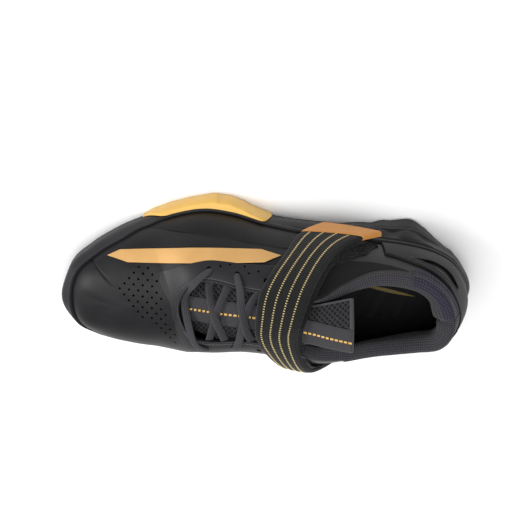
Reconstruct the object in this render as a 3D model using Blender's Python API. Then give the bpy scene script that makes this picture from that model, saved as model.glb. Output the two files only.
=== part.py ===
"""A right shoe for weightlifting, empty and standing on its sole.

The shoe is drawn heel first: x runs from the back of the sole to the toe, the lateral side is at -Y, +Z is up, and
lengths are in metres. One function, last(), gives every point of the upper's outer face, and all the pieces that touch
the upper are worked out from it. At the end the whole shoe is moved so that the origin is under the middle of its box.
"""

import math

import bmesh
import bpy
import numpy as np
from mathutils import Vector

# Sizes that drive the shoe.
LENGTH = 0.300  # sole, from heel back to toe tip
BALL_WIDTH = 0.102  # foot of the upper across the ball
HEEL_WIDTH = 0.062  # foot of the upper across the heel
HEEL_STACK = 0.034  # floor to footbed under the heel
BALL_STACK = 0.015  # floor to footbed under the ball
TOE_SPRING = 0.007  # rise of the footbed at the toe
TOE_LIFT = 0.008  # rise of the tread at the toe
HEEL_BEVEL = 0.005  # rise of the tread at the back of the heel
COLLAR_RISE = 0.064  # footbed to the top of the wall at the heel
INSTEP_RISE = 0.065  # footbed to throat edge at the top of the lacing
TOE_RISE = 0.026  # footbed to the top of the toe box

# Thicknesses and clearances.
WALL = 0.0018  # upper
GAP = 0.0003  # between pieces that touch
TREAD = 0.004  # outsole
TOE_WRAP = 1.2  # how much thicker the outsole is where it wraps the toe
GROOVE_DEPTH = 0.0015
GROOVE_WIDTH = 0.003
INSOLE = 0.004
RIM_WALL = 0.0024  # midsole's rim beside the upper
OVERLAY = 0.0009  # eyestay and side panel
CLIP_WALL = 0.0014  # heel clip
PATCH = 0.0014  # strap's landing patch
COLLAR_PAD = 0.0095  # collar padding at its thickest
COLLAR_DEPTH = 0.033  # collar padding below the topline
COLLAR_CREST = 0.0050  # collar padding above the topline
TONGUE_PAD = 0.0050
LABEL_WIDTH = 0.0165
LABEL_THICKNESS = 0.0012
LACE_WIDTH = 0.0068
LACE_THICKNESS = 0.0021
EYELET_RADIUS = 0.0019
STRAP_THICKNESS = 0.0026
STRAP_CROWN = 0.0006  # bow across its width
STRAP_JOINT = 0.025  # gap at the tip, as a share of the run between two lines of STRAP
TIP_THICKNESS = 0.0032
CLIP_LIFT = 0.012  # share of the wall between the rim and the heel clip

LATERAL, MEDIAL = -1, 1

# Sections of the last, from heel to toe. The first three columns place the foot of the wall: x as a share of LENGTH,
# then the lateral and medial distance from the midline as shares of half_width(). The next four place its top, the last
# of them as a share of rise(). low and high are the handles of the curve between them: lateral and medial, outward as
# shares of half_width(), then up as a share of rise().
SECTIONS = [
    # name x lat med top_x t_lat t_med top_z low_lat low_med low_up high_lat high_med high_up
    ("heel_back", 0.027, 0.000, 0.000, 0.058, 0.000, 0.000, 1.000, 0.24, 0.24, 0.23, 0.26, 0.26, -0.35),
    ("heel_turn", 0.045, 0.543, 0.540, 0.067, 0.400, 0.360, 0.995, 0.19, 0.19, 0.24, 0.20, 0.20, -0.35),
    ("heel_side", 0.083, 0.830, 0.800, 0.095, 0.740, 0.640, 0.950, 0.17, 0.17, 0.25, 0.16, 0.16, -0.35),
    ("ankle_back", 0.150, 0.980, 0.905, 0.150, 0.920, 0.760, 0.840, 0.16, 0.17, 0.25, 0.15, 0.18, -0.35),
    ("ankle", 0.250, 1.010, 0.890, 0.240, 0.880, 0.800, 0.800, 0.12, 0.21, 0.25, 0.16, 0.28, -0.35),
    ("ankle_front", 0.335, 0.985, 0.850, 0.317, 0.600, 0.790, 0.870, 0.10, 0.24, 0.27, 0.30, 0.32, -0.33),
    ("throat_top", 0.420, 0.960, 0.790, 0.383, 0.340, 0.690, 0.970, 0.08, 0.22, 0.27, 0.40, 0.34, -0.21),
    ("instep_top", 0.500, 0.965, 0.775, 0.460, 0.330, 0.490, 0.974, 0.06, 0.14, 0.28, 0.38, 0.40, -0.14),
    ("instep", 0.580, 1.035, 0.813, 0.550, 0.332, 0.443, 0.997, 0.05, 0.07, 0.31, 0.38, 0.38, -0.10),
    ("ball", 0.650, 1.070, 0.873, 0.633, 0.392, 0.510, 1.090, 0.05, 0.05, 0.36, 0.35, 0.35, -0.10),
    ("ball_front", 0.720, 1.000, 0.900, 0.683, 0.294, 0.441, 1.188, 0.06, 0.06, 0.43, 0.39, 0.39, -0.095),
    ("vamp_point", 0.790, 0.870, 0.880, 0.710, -0.078, 0.078, 1.220, 0.06, 0.06, 0.54, 0.51, 0.51, 0.0),
    ("vamp", 0.860, 0.700, 0.795, 0.760, -0.098, 0.098, 1.264, 0.06, 0.06, 0.62, 0.43, 0.43, 0.0),
    ("toe_box", 0.920, 0.480, 0.690, 0.820, -0.127, 0.127, 1.270, 0.07, 0.07, 0.63, 0.37, 0.37, 0.0),
    ("toe_turn", 0.962, 0.235, 0.510, 0.873, -0.157, 0.157, 1.100, 0.08, 0.08, 0.59, 0.33, 0.33, 0.0),
    ("toe_tip", 0.979, -0.157, 0.157, 0.873, -0.157, 0.157, 1.100, 0.08, 0.08, 0.55, 0.31, 0.31, 0.0),
]
N = len(SECTIONS) - 1
V = [row[0] for row in SECTIONS].index("vamp_point")
POLE = N - 1  # the sections from here on meet at one point on the toe box

# The side of the sole, by section number. The foot of the side and its middle stand outside the foot of the wall by
# shares of half_width(), and the rim stands above the footbed by a share of BALL_STACK.
SOLE_SIDE = [
    # section foot_lat foot_med mid_lat mid_med rim_lat rim_med
    (0.0, -0.06, -0.06, 0.26, 0.26, 0.36, 0.36),
    (1.0, 0.120, 0.120, 0.190, 0.190, 0.34, 0.34),
    (2.0, 0.150, 0.160, 0.170, 0.180, 0.30, 0.30),
    (2.6, 0.310, 0.240, 0.250, 0.200, 0.28, 0.28),
    (3.0, 0.350, 0.250, 0.240, 0.190, 0.28, 0.28),
    (3.6, 0.230, 0.210, 0.190, 0.170, 0.28, 0.28),
    (4.0, 0.110, 0.130, 0.140, 0.140, 0.30, 0.30),
    (5.0, 0.030, 0.050, 0.125, 0.110, 0.36, 0.36),
    (6.0, 0.030, 0.050, 0.115, 0.110, 0.40, 0.42),
    (7.0, 0.050, 0.060, 0.080, 0.090, 0.30, 0.48),
    (8.0, 0.070, 0.070, 0.080, 0.090, 0.12, 0.52),
    (10.0, 0.070, 0.080, 0.080, 0.090, 0.12, 0.54),
    (11.0, 0.085, 0.085, 0.090, 0.090, 0.30, 0.56),
    (12.0, 0.085, 0.085, 0.090, 0.090, 0.56, 0.56),
    (13.0, 0.100, 0.090, 0.100, 0.095, 0.58, 0.58),
    (15.0, 0.150, 0.150, 0.140, 0.140, 0.60, 0.60),
]

# The outrigger on the lateral side of the ball: how far it stands out, as a share of half_width(), and how high it
# laps up the wall above the rim, as a share of BALL_STACK.
OUTRIGGER = [
    # section out   lap
    (6.85, 0.012, 0.04),
    (7.10, 0.035, 0.14),
    (7.45, 0.055, 0.22),
    (7.80, 0.090, 0.28),
    (8.20, 0.122, 0.30),
    (8.60, 0.112, 0.30),
    (9.20, 0.082, 0.30),
    (10.0, 0.070, 0.28),
    (10.6, 0.045, 0.20),
    (11.1, 0.012, 0.05),
]

# The tongue's sections, from its front end inside the vamp to its top. x is a share of LENGTH, the middle line's y a
# share of half_width(), the crown's height above the floor a share of footbed plus INSTEP_RISE, and the half width and
# the drop of its edges shares of half_width(). The last column is the y of the webbing's middle line.
TONGUE = [
    # x     y_mid  crown  half   drop   label
    (0.730, 0.100, 0.640, 0.235, 0.050, 0.10),
    (0.667, 0.078, 0.765, 0.385, 0.086, 0.08),
    (0.600, 0.060, 0.905, 0.460, 0.118, 0.06),
    (0.533, 0.050, 1.005, 0.470, 0.132, 0.05),
    (0.467, 0.060, 1.105, 0.440, 0.142, 0.07),
    (0.417, 0.100, 1.180, 0.375, 0.110, 0.11),
    (0.393, 0.120, 1.220, 0.370, 0.110, 0.13),
    (0.350, 0.090, 1.330, 0.460, 0.180, 0.17),
    (0.303, 0.060, 1.438, 0.570, 0.300, 0.22),
]

LABEL_FRONT, LABEL_BACK = 0.665, 0.312  # the webbing's ends, as shares of LENGTH
GROOVES = [0.10, 0.17, 0.24, 0.46, 0.52, 0.58, 0.64, 0.70]  # middles of the tread's grooves, as shares of LENGTH

# The eyestay's lower edge, as a height share.
EYESTAY_BACK, EYESTAY_FRONT = 6.35, 11.75
EYESTAY = [
    # section lat   med
    (6.35, 0.62, 0.72),
    (7.50, 0.64, 0.74),
    (9.00, 0.66, 0.73),
    (10.2, 0.66, 0.72),
    (10.9, 0.70, 0.74),
    (11.35, 0.82, 0.83),
    (11.75, 0.985, 0.985),
]

# The heel clip, as shares of the wall above the rim: its bottom, its window's lower and upper edges, and its top.
HEEL_CLIP = [
    # section bottom win_low win_high top
    (0.0, 0.00, 0.56, 0.66, 0.74),
    (0.8, 0.00, 0.52, 0.65, 0.72),
    (1.6, 0.00, 0.44, 0.58, 0.66),
    (2.4, 0.00, 0.36, 0.44, 0.54),
    (2.9, 0.00, 0.28, 0.29, 0.42),
    (3.75, 0.00, 0.10, 0.11, 0.20),
]
WINDOW_START, WINDOW_END = 0.35, 2.8

# The strap's landing patch on the lateral quarter, as height shares.
LANDING = [
    # section low   high
    (3.85, 0.14, 0.36),
    (4.30, 0.16, 0.62),
    (5.00, 0.18, 0.70),
    (5.90, 0.22, 0.66),
]

# The collar padding from the heel round to where it runs out: shares of its thickness, crest and depth.
COLLAR_END = 6.1
COLLAR = [
    # section pad   crest depth
    (0.0, 1.00, 1.00, 1.00),
    (3.0, 1.00, 1.00, 1.00),
    (4.0, 0.95, 0.95, 0.95),
    (5.0, 0.62, 0.62, 0.70),
    (6.1, 0.20, 0.20, 0.30),
]

# The runs of lace. A run starts or ends at an eyelet, by side and number, or has its own points: x as a share of
# LENGTH, y as a share of half_width() and the lift above the webbing as a share of LACE_THICKNESS. Where it crosses the
# edge of the throat, its row has the side and the section.
LACES = {
    "lace_bar": [
        [
            ("eyelet", LATERAL, 0),
            ("edge", LATERAL, 9.10),
            (0.672, -0.05, 1.0),
            ("edge", MEDIAL, 9.35),
            ("eyelet", MEDIAL, 0),
        ],
    ],
    "lace_cross_front": [
        [(0.634, -0.28, 0.4), (0.621, 0.05, 1.7), (0.600, 0.38, 0.6)],
        [(0.592, -0.28, 0.4), (0.614, 0.02, 0.9), (0.632, 0.40, 0.8)],
    ],
    "lace_cross_rear": [
        [("eyelet", LATERAL, 1), ("edge", LATERAL, 8.10), (0.550, 0.00, 1.5), (0.538, 0.33, 0.3)],
        [(0.520, -0.26, 0.3), (0.545, 0.02, 0.7), ("edge", MEDIAL, 8.15), ("eyelet", MEDIAL, 1)],
    ],
}

# Lines across the strap, from its medial end to its tip. On a side of the shoe a line's front and rear ends are at a
# section, a height share and a distance off the wall, as a share of STRAP_THICKNESS. Over the instep they are at x, y
# and z, as shares of LENGTH, half_width() and footbed plus INSTEP_RISE, with the sideways lean of its face.
STRAP = [
    # medial   front_r front_h rear_r rear_h front_off rear_off
    ("medial", 5.35, 0.16, 4.25, 0.15, 1.2, 1.2),
    ("medial", 5.95, 0.34, 4.95, 0.34, 1.8, 1.8),
    ("medial", 6.60, 0.52, 5.60, 0.56, 2.2, 2.2),
    ("medial", 7.05, 0.74, 6.20, 0.82, 2.0, 2.0),
    # over   front_x rear_x y    front_z rear_z lean
    ("over", 0.518, 0.424, 0.33, 1.13, 1.20, 0.35),
    ("over", 0.515, 0.418, 0.00, 1.17, 1.27, 0.00),
    ("over", 0.510, 0.404, -0.36, 1.14, 1.22, -0.35),
    ("lateral", 7.15, 0.78, 5.95, 0.90, 1.8, 1.8),
    ("lateral", 6.70, 0.60, 5.40, 0.66, 1.2, 1.3),
    ("lateral", 6.30, 0.42, 4.80, 0.45, 1.2, 1.2),
    ("lateral", 6.02, 0.24, 4.22, 0.29, 1.7, 1.5),
    ("lateral", 5.40, 0.02, 3.74, 0.07, 2.6, 2.2),
]

# Eyelets: the section and the height share where each is punched, front to back.
EYELETS = [
    # lat_section lat_h med_section med_h
    (9.00, 0.85, 9.20, 0.84),
    (8.22, 0.84, 8.33, 0.85),
    (7.45, 0.85, 7.63, 0.86),
    (6.74, 0.87, 6.90, 0.87),
]


def smooth(t):
    """A share from 0 to 1 with level ends."""
    t = min(1.0, max(0.0, t))
    return t * t * (3 - 2 * t)


def half_width(x):
    """Half the foot of the wall at x, before each section's own share."""
    return (HEEL_WIDTH + (BALL_WIDTH - HEEL_WIDTH) * smooth(x / (0.65 * LENGTH))) / 2


def bed(x):
    """Height of the footbed: a wedge from heel to ball, then the toe spring."""
    wedge = smooth((x / LENGTH - 0.25) / 0.41)
    spring = max(0.0, (x / LENGTH - 0.72) / 0.28) ** 1.6
    return HEEL_STACK + (BALL_STACK - HEEL_STACK) * wedge + TOE_SPRING * spring


def floor(x):
    """Height of the tread: flat, with a bevel at the heel and a lift at the toe."""
    lift = max(0.0, (x / LENGTH - 0.74) / 0.26) ** 2
    bevel = max(0.0, 1 - x / (0.085 * LENGTH)) ** 1.5
    return TOE_LIFT * lift + HEEL_BEVEL * bevel


def rise(x):
    """Height of the upper above the footbed, before each section's own share."""
    instep = INSTEP_RISE + (COLLAR_RISE - INSTEP_RISE) * (1 - smooth(x / (0.45 * LENGTH)))
    return instep + (TOE_RISE - INSTEP_RISE) * smooth((x / LENGTH - 0.45) / 0.423)


def through(points, t, closed):
    """The point at t on a curve through the points, which lie at 0, 1, 2 and so on."""
    count = len(points)
    i = math.floor(t)
    u = t - i
    if not closed and i >= count - 1:
        i, u = count - 2, 1.0

    def at(k):
        if closed:
            return points[k % count]
        if k < 0:
            return 2 * points[0] - points[1]
        if k >= count:
            return 2 * points[-1] - points[-2]
        return points[k]

    p0, p1, p2, p3 = at(i - 1), at(i), at(i + 1), at(i + 2)
    return 0.5 * (
        2 * p1 + (p2 - p0) * u + (2 * p0 - 5 * p1 + 4 * p2 - p3) * u**2 + (3 * p1 - p0 - 3 * p2 + p3) * u**3
    )


def from_table(rows, t, column):
    """A table's column at t, eased between its rows, whose first column rises."""
    if t <= rows[0][0]:
        return rows[0][column]
    for low, high in zip(rows, rows[1:]):
        if t <= high[0]:
            share = (t - low[0]) / (high[0] - low[0])
            return low[column] + (high[column] - low[column]) * smooth(share)
    return rows[-1][column]


def unit(vector):
    return vector / max(1e-12, np.linalg.norm(vector))


def section_rows():
    """The foot, the two handles and the top of each section, once round the shoe: heel, lateral, toe, medial."""
    order = [(r, LATERAL) for r in range(N + 1)] + [(r, MEDIAL) for r in range(N - 1, 0, -1)]
    foot, top = [], []
    for r, side in order:
        _, x, lat, med, top_x, top_lat, top_med, top_z, *_ = SECTIONS[r]
        x, top_x = x * LENGTH, top_x * LENGTH
        share, top_share = (lat, top_lat) if side == LATERAL else (med, top_med)
        foot.append(np.array([x, side * share * half_width(x), bed(x)]))
        top.append(np.array([top_x, side * top_share * half_width(top_x), bed(top_x) + top_z * rise(top_x)]))
    ridge = [top[r] for r in range(V, POLE + 1)]
    low, high = [], []
    for k, (r, side) in enumerate(order):
        low_lat, low_med, low_up, high_lat, high_med, high_up = SECTIONS[r][8:]
        low_out, high_out = (low_lat, high_lat) if side == LATERAL else (low_med, high_med)
        along = foot[(k + 1) % (2 * N)] - foot[k - 1]
        out = unit(np.array([along[1], -along[0], 0.0]))
        up = np.array([0.0, 0.0, 1.0])
        low.append(foot[k] + out * low_out * half_width(foot[k][0]) + up * low_up * rise(foot[k][0]))
        if r >= V:
            i = min(r - V, len(ridge) - 2)
            forward = unit(ridge[i + 1] - ridge[i])
            out = unit(np.array([0.0, side * abs(out[1]), 0.0]) + forward * max(0.0, out[0]))
        high.append(top[k] + out * high_out * half_width(top[k][0]) + up * high_up * rise(top[k][0]))
    opening = [top[r] for r in range(V + 1)] + [top[2 * N - r] for r in range(V - 1, 0, -1)]
    return foot, low, high, opening, ridge


FOOT, LOW, HIGH, OPENING, RIDGE = section_rows()


def section_of(a):
    """The section number of a place round the shoe: 0 at the heel, N at the toe."""
    a = a % (2 * N)
    return a if a <= N else 2 * N - a


def place(side, section):
    """The place round the shoe of a section on one side: it counts up on the lateral side and down on the medial."""
    return (-side * section) % (2 * N)


def top_edge(a):
    """The top of the wall: the topline and throat, then the ridge of the vamp, then the toe box."""
    r = section_of(a)
    if r <= V:
        lateral = a % (2 * N) <= N
        return through(OPENING, r if lateral else 2 * V - r, True)
    return through(RIDGE, min(r - V, POLE - V), False)


def last(a, h):
    """A point of the upper's outer face: a goes round the shoe, h from the foot of the wall, 0, to its top, 1."""
    p0, p1, p2 = (through(points, a, True) for points in (FOOT, LOW, HIGH))
    p3 = top_edge(a)
    g = 1 - h
    return p0 * g**3 + 3 * p1 * g * g * h + 3 * p2 * g * h * h + p3 * h**3


def normal(a, h):
    """Outward direction of the upper's face."""
    if section_of(a) >= V and h > 0.985:
        i = min(section_of(a) - V, POLE - V - 0.02)
        forward = unit(through(RIDGE, i + 0.01, False) - through(RIDGE, i, False))
        return unit(np.cross(forward, np.array([0.0, 1.0, 0.0])))
    h = min(0.985, h)
    round_it = last(a + 0.01, h) - last(a - 0.01, h)
    up_it = last(a, min(1.0, h + 0.01)) - last(a, max(0.0, h - 0.01))
    return unit(np.cross(up_it, round_it)) * -1


def off_last(a, h, distance):
    """A point that stands off the upper's outer face, outwards where distance is positive."""
    return last(a, h) + normal(a, h) * distance


def columns(ends=3, middle=2):
    """The places round the shoe where the pieces have their vertices, closer together at heel and toe."""
    steps = []
    for r in range(N):
        count = ends if r < 4 or r >= V - 1 else middle
        steps += [r + i / count for i in range(count)]
    lateral = [place(LATERAL, r) for r in steps]
    medial = [place(MEDIAL, r) for r in reversed(steps[1:])]
    return lateral + [float(N)] + medial


class Surface:
    """Collects the corners and faces of one closed piece. Corners that coincide become one."""

    def __init__(self):
        self.points, self.faces, self.known = [], [], {}

    def corner(self, point):
        key = tuple(round(float(c) * 1e7) for c in point)
        if key not in self.known:
            self.known[key] = len(self.points)
            self.points.append(tuple(float(c) for c in point))
        return self.known[key]

    def face(self, *points):
        ring = []
        for index in (self.corner(p) for p in points):
            if index not in ring:
                ring.append(index)
        if len(ring) > 2:
            self.faces.append(ring)

    def band(self, first, second, closed=True):
        """A strip of faces between two rows of points."""
        count = len(first)
        for i in range(count if closed else count - 1):
            j = (i + 1) % count
            self.face(first[i], first[j], second[j], second[i])

    def bridge(self, ring, up):
        """Closes a ring of points round the shoe with faces from its lateral to its medial side."""
        half = len(ring) // 2
        for i in range(half):
            left, right = ring[i], ring[i + 1]
            other_left, other_right = ring[(len(ring) - i) % len(ring)], ring[len(ring) - i - 1]
            corners = (left, other_left, other_right, right) if up else (left, right, other_right, other_left)
            self.face(*corners)

    def build(self, name, material, smooth_angle=40):
        mesh = bpy.data.meshes.new(name)
        mesh.from_pydata(self.points, [], self.faces)
        mesh.validate()
        piece = bpy.data.objects.new(name, mesh)
        bpy.context.scene.collection.objects.link(piece)
        mesh.materials.append(material)
        face_outwards(mesh)
        mesh.shade_smooth()
        mesh.set_sharp_from_angle(angle=math.radians(smooth_angle))
        return piece


def face_outwards(mesh):
    """Turns the faces of a closed mesh outwards."""
    work = bmesh.new()
    work.from_mesh(mesh)
    bmesh.ops.recalc_face_normals(work, faces=work.faces[:])
    work.to_mesh(mesh)
    work.free()


def material(name, colour, roughness, metallic=0.0):
    """A plain finish for one kind of piece. The colour is linear."""
    made = bpy.data.materials.new(name)
    made.use_nodes = True
    shader = made.node_tree.nodes["Principled BSDF"]
    shader.inputs["Base Color"].default_value = (*colour, 1.0)
    shader.inputs["Roughness"].default_value = roughness
    shader.inputs["Metallic"].default_value = metallic
    made.diffuse_color = (*colour, 1.0)
    return made


def closed_grid(name, under, over, finish, smooth_angle=40):
    """A closed piece between two grids of points of the same shape."""
    surface = Surface()
    for i in range(len(under) - 1):
        surface.band(over[i], over[i + 1], closed=False)
        surface.band(under[i], under[i + 1], closed=False)
    for row in (0, -1):
        surface.band(under[row], over[row], closed=False)
    for column in (0, -1):
        surface.band([line[column] for line in under], [line[column] for line in over], closed=False)
    return surface.build(name, finish, smooth_angle)


def upper(finish):
    """The hollow upper: outer and inner faces, joined at its foot and round the throat and topline."""
    places = columns()
    heights = [0.0, 0.12, 0.25, 0.39, 0.53, 0.67, 0.79, 0.9, 1.0]
    surface = Surface()
    outer = [[last(a, h) for a in places] for h in heights]
    inner = [[off_last(a, h, -WALL) for a in places] for h in heights]
    for i in range(len(heights) - 1):
        surface.band(outer[i], outer[i + 1])
        surface.band(inner[i + 1], inner[i])
    surface.band(inner[0], outer[0])
    count = len(places)
    for i in range(count):
        j = (i + 1) % count
        if max(section_of(places[i]), section_of(places[j])) <= V:
            surface.face(outer[-1][i], outer[-1][j], inner[-1][j], inner[-1][i])
    piece = surface.build("upper", finish)
    punch_eyelets(piece)
    return piece


def eyelet_places():
    """The place round the shoe and the height share of each eyelet, with its side and its number from the front."""
    for number, (lat_r, lat_h, med_r, med_h) in enumerate(EYELETS):
        yield LATERAL, number, place(LATERAL, lat_r), lat_h
        yield MEDIAL, number, place(MEDIAL, med_r), med_h


def punch_eyelets(piece):
    """Cuts each eyelet through the piece, square to the upper's face."""
    for side, number, a, h in eyelet_places():
        side_name = "lateral" if side == LATERAL else "medial"
        bpy.ops.mesh.primitive_cylinder_add(vertices=8, radius=EYELET_RADIUS, depth=8 * WALL)
        pin = bpy.context.object
        pin.name = f"{piece.name}_pin_{side_name}_{number}"
        pin.rotation_mode = "QUATERNION"
        pin.rotation_quaternion = Vector(normal(a, h)).to_track_quat("Z", "Y")
        pin.location = last(a, h)
        cut_with(piece, pin)


def cut_with(piece, cutter):
    """Hides the cutter and takes it away from the piece."""
    cutter.hide_render = True
    cutter.display_type = "WIRE"
    cut = piece.modifiers.new(cutter.name, "BOOLEAN")
    cut.operation = "DIFFERENCE"
    cut.object = cutter


def side_table(a, column):
    """A value of SOLE_SIDE at a place round the shoe, from the lateral column or the medial one beside it."""
    lateral = a % (2 * N) <= N
    r = section_of(a)
    value = from_table(SOLE_SIDE, r, column if lateral else column + 1)
    other = from_table(SOLE_SIDE, r, column + 1 if lateral else column)
    return value + (other - value) * 0.5 * max(0.0, r - (N - 1))


def outward(a):
    """Level direction straight out from the foot of the wall."""
    along = through(FOOT, a + 0.01, True) - through(FOOT, a - 0.01, True)
    return unit(np.array([along[1], -along[0], 0.0]))


def tread_height(x):
    """Thickness of the outsole, which wraps up at the toe."""
    return TREAD * (1 + TOE_WRAP * smooth((x / LENGTH - 0.84) / 0.12))


def at_height(point, z):
    return np.array([point[0], point[1], z])


def share_at(a, z):
    """The height share at which the foot of the wall reaches z."""
    low, high = 0.0, 0.5
    for _ in range(24):
        middle = (low + high) / 2
        if last(a, middle)[2] < z:
            low = middle
        else:
            high = middle
    return (low + high) / 2


def rim_share(a):
    """The height share of the wall at the midsole's rim."""
    return share_at(a, last(a, 0)[2] + side_table(a, 5) * BALL_STACK)


def sole_foot(a):
    """The outline of the sole where the midsole meets the outsole."""
    foot = last(a, 0)
    point = foot + outward(a) * side_table(a, 1) * half_width(foot[0])
    return at_height(point, floor(point[0]) + tread_height(point[0]))


def sole_side(a, t):
    """The midsole's side: t is 0 at its foot, 1 at its middle and 2 at its rim."""
    foot = last(a, 0)
    low, rim = sole_foot(a), off_last(a, rim_share(a), GAP + RIM_WALL)
    middle = foot + outward(a) * side_table(a, 3) * half_width(foot[0])
    middle = at_height(middle, low[2] + 0.55 * (rim[2] - low[2]))
    return through([low, middle, rim], t, False)


def midsole(finish):
    """A cup: its side, its rim round the foot of the upper, and the footbed."""
    places = columns()
    side = [[sole_side(a, t) for a in places] for t in (0, 0.5, 1, 1.5, 2)]
    shares = [rim_share(a) for a in places]
    inside = [[off_last(a, h * part, GAP) for a, h in zip(places, shares)] for part in (1, 0.5, 0)]
    footbed = [at_height(p, p[2] - GAP) for p in inside[-1]]
    rings = side + inside + [footbed]
    surface = Surface()
    for low, high in zip(rings, rings[1:]):
        surface.band(low, high)
    surface.bridge(side[0], up=False)
    surface.bridge(footbed, up=True)
    return surface.build("midsole", finish)


def outsole(finish):
    """The tread plate under the midsole, with grooves across it."""
    places = columns()
    top = [at_height(p, p[2] - GAP) for p in map(sole_foot, places)]
    edge = [p - outward(a) * 0.25 * TREAD for a, p in zip(places, top)]
    bottom = [at_height(p, floor(p[0])) for p in edge]
    surface = Surface()
    surface.band(bottom, top)
    surface.bridge(bottom, up=False)
    surface.bridge(top, up=True)
    plate = surface.build("outsole", finish)
    for number, share in enumerate(GROOVES):
        cut_with(plate, block(f"groove_{number}", share * LENGTH))
    return plate


def block(name, x):
    """The cutter of one groove, as wide as the tread and more."""
    bpy.ops.mesh.primitive_cube_add(size=1, location=(x, 0, 0))
    cutter = bpy.context.object
    cutter.name = name
    cutter.scale = (GROOVE_WIDTH, 2 * BALL_WIDTH, 2 * GROOVE_DEPTH)
    return cutter


def outrigger(finish):
    """The stabiliser that hugs the lateral side of the ball and laps over the rim."""
    count = 20
    first, final = OUTRIGGER[0][0], OUTRIGGER[-1][0]
    clear = 1.3 * GAP
    loops = []
    for i in range(count + 1):
        r = first + (final - first) * i / count
        a = place(LATERAL, r)
        out = outward(a)
        up = np.array([0.0, 0.0, 1.0])
        reach = from_table(OUTRIGGER, r, 1) * half_width(last(a, 0)[0])
        lap = from_table(OUTRIGGER, r, 2) * BALL_STACK
        foot, middle, rim = (sole_side(a, t) + out * clear for t in (0, 1, 2))
        low = at_height(foot, floor(foot[0]) + clear)
        h = rim_share(a)
        top_h = share_at(a, last(a, h)[2] + clear + lap)
        inner_rim = off_last(a, h, clear) + up * clear
        lip = off_last(a, top_h, clear)
        loops.append(
            [
                low,
                foot,
                middle,
                rim + up * clear,
                inner_rim,
                lip,
                lip + out * min(reach, OVERLAY) + up * 0.3 * OVERLAY,
                rim + out * 0.72 * reach + up * clear,
                middle + out * 0.95 * reach,
                at_height(foot + out * reach, low[2] + 0.4 * TREAD),
                low + out * 0.9 * reach,
            ]
        )
    return loft("outrigger", loops, finish)


def loft(name, loops, finish, smooth_angle=40):
    """A closed piece through loops of points, with a face across each end."""
    surface = Surface()
    for low, high in zip(loops, loops[1:]):
        surface.band(low, high)
    surface.face(*loops[0])
    surface.face(*reversed(loops[-1]))
    return surface.build(name, finish, smooth_angle)


def insole(finish):
    """The sockliner, inside the upper and on the footbed."""
    places = columns()
    clear = WALL + 1.6 * GAP
    bottom = [off_last(a, share_at(a, last(a, 0)[2] + 0.3 * GAP), -clear) for a in places]
    top = [off_last(a, share_at(a, last(a, 0)[2] + INSOLE), -clear) for a in places]
    surface = Surface()
    surface.band(bottom, top)
    surface.bridge(bottom, up=False)
    surface.bridge(top, up=True)
    return surface.build("insole", finish)


def tongue_row(x):
    """The tongue's table at x, on a curve through its rows."""
    t = float(np.interp(-x, [-row[0] * LENGTH for row in TONGUE], range(len(TONGUE))))
    return through([np.array(row) for row in TONGUE], t, False)


def tongue_point(x, across, sink=0.0):
    """A point on the tongue's outer face: across goes from -1 at its lateral edge to 1 at its medial edge."""
    _, middle, crown, half, drop, _ = tongue_row(x)
    wide = half_width(x)
    height = crown * (BALL_STACK + INSTEP_RISE) - drop * wide * across**2
    slope = 2 * drop * across / max(half, 1e-6)
    out = unit(np.array([0.45 * smooth(1.6 - x / LENGTH * 2), slope, 1.0]))
    return np.array([x, (middle + half * across) * wide, height]) - out * sink


def tongue(finish):
    """The padded tongue, thinner at its front end under the vamp and along its edges."""
    count, across = 26, (-1, -0.82, -0.45, 0, 0.45, 0.82, 1)
    front, back = TONGUE[0][0] * LENGTH, TONGUE[-1][0] * LENGTH
    under, over = [], []
    for i in range(count + 1):
        x = front + (back - front) * i / count
        thick = TONGUE_PAD * (0.35 + 0.65 * smooth(i / 6)) * (1 - 0.5 * smooth((i - count + 3) / 3))
        over.append([tongue_point(x, v) for v in across])
        under.append([tongue_point(x, v, thick * (1 - 0.6 * abs(v) ** 3)) for v in across])
    return closed_grid("tongue", under, over, finish)


def across_tongue(x, y):
    """How far across the tongue y is at x, from -1 at its lateral edge to 1 at its medial edge."""
    _, middle, _, half, _, _ = tongue_row(x)
    return (y / half_width(x) - middle) / half


def tongue_label(finish):
    """The webbing down the tongue."""
    count = 18
    front, back = LABEL_FRONT * LENGTH, LABEL_BACK * LENGTH
    under, over = [], []
    for i in range(count + 1):
        x = front + (back - front) * i / count
        middle = tongue_row(x)[5] * half_width(x)
        places = [across_tongue(x, middle + v * LABEL_WIDTH / 2) for v in (-1, -0.5, 0, 0.5, 1)]
        under.append([tongue_point(x, v, -GAP) for v in places])
        over.append([tongue_point(x, v, -GAP - LABEL_THICKNESS) for v in places])
    return closed_grid("tongue_label", under, over, finish)


def on_tongue(x, y, lift):
    """A point above the tongue's webbing at x and y."""
    return tongue_point(x, across_tongue(x, y), -(LABEL_THICKNESS + 3 * GAP + LACE_THICKNESS / 2 + lift))


def ribbon(name, points, finish, width, thick):
    """A flat lace through the points, each with the direction that its flat face looks."""
    dense_count = 3 * (len(points) - 1)
    centres = [through([p for p, _ in points], i / 3, False) for i in range(dense_count + 1)]
    ups = [unit(through([u for _, u in points], i / 3, False)) for i in range(dense_count + 1)]
    loops = []
    for i, (centre, up) in enumerate(zip(centres, ups)):
        along = unit(centres[min(i + 1, dense_count)] - centres[max(i - 1, 0)])
        side = unit(np.cross(along, up))
        up = unit(np.cross(side, along))
        corners = [(-0.5, 0), (-0.38, 0.42), (0, 0.5), (0.38, 0.42), (0.5, 0), (0.38, -0.42), (0, -0.5), (-0.38, -0.42)]
        loops.append([centre + side * s * width + up * t * thick for s, t in corners])
    return loft(name, loops, finish)


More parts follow.
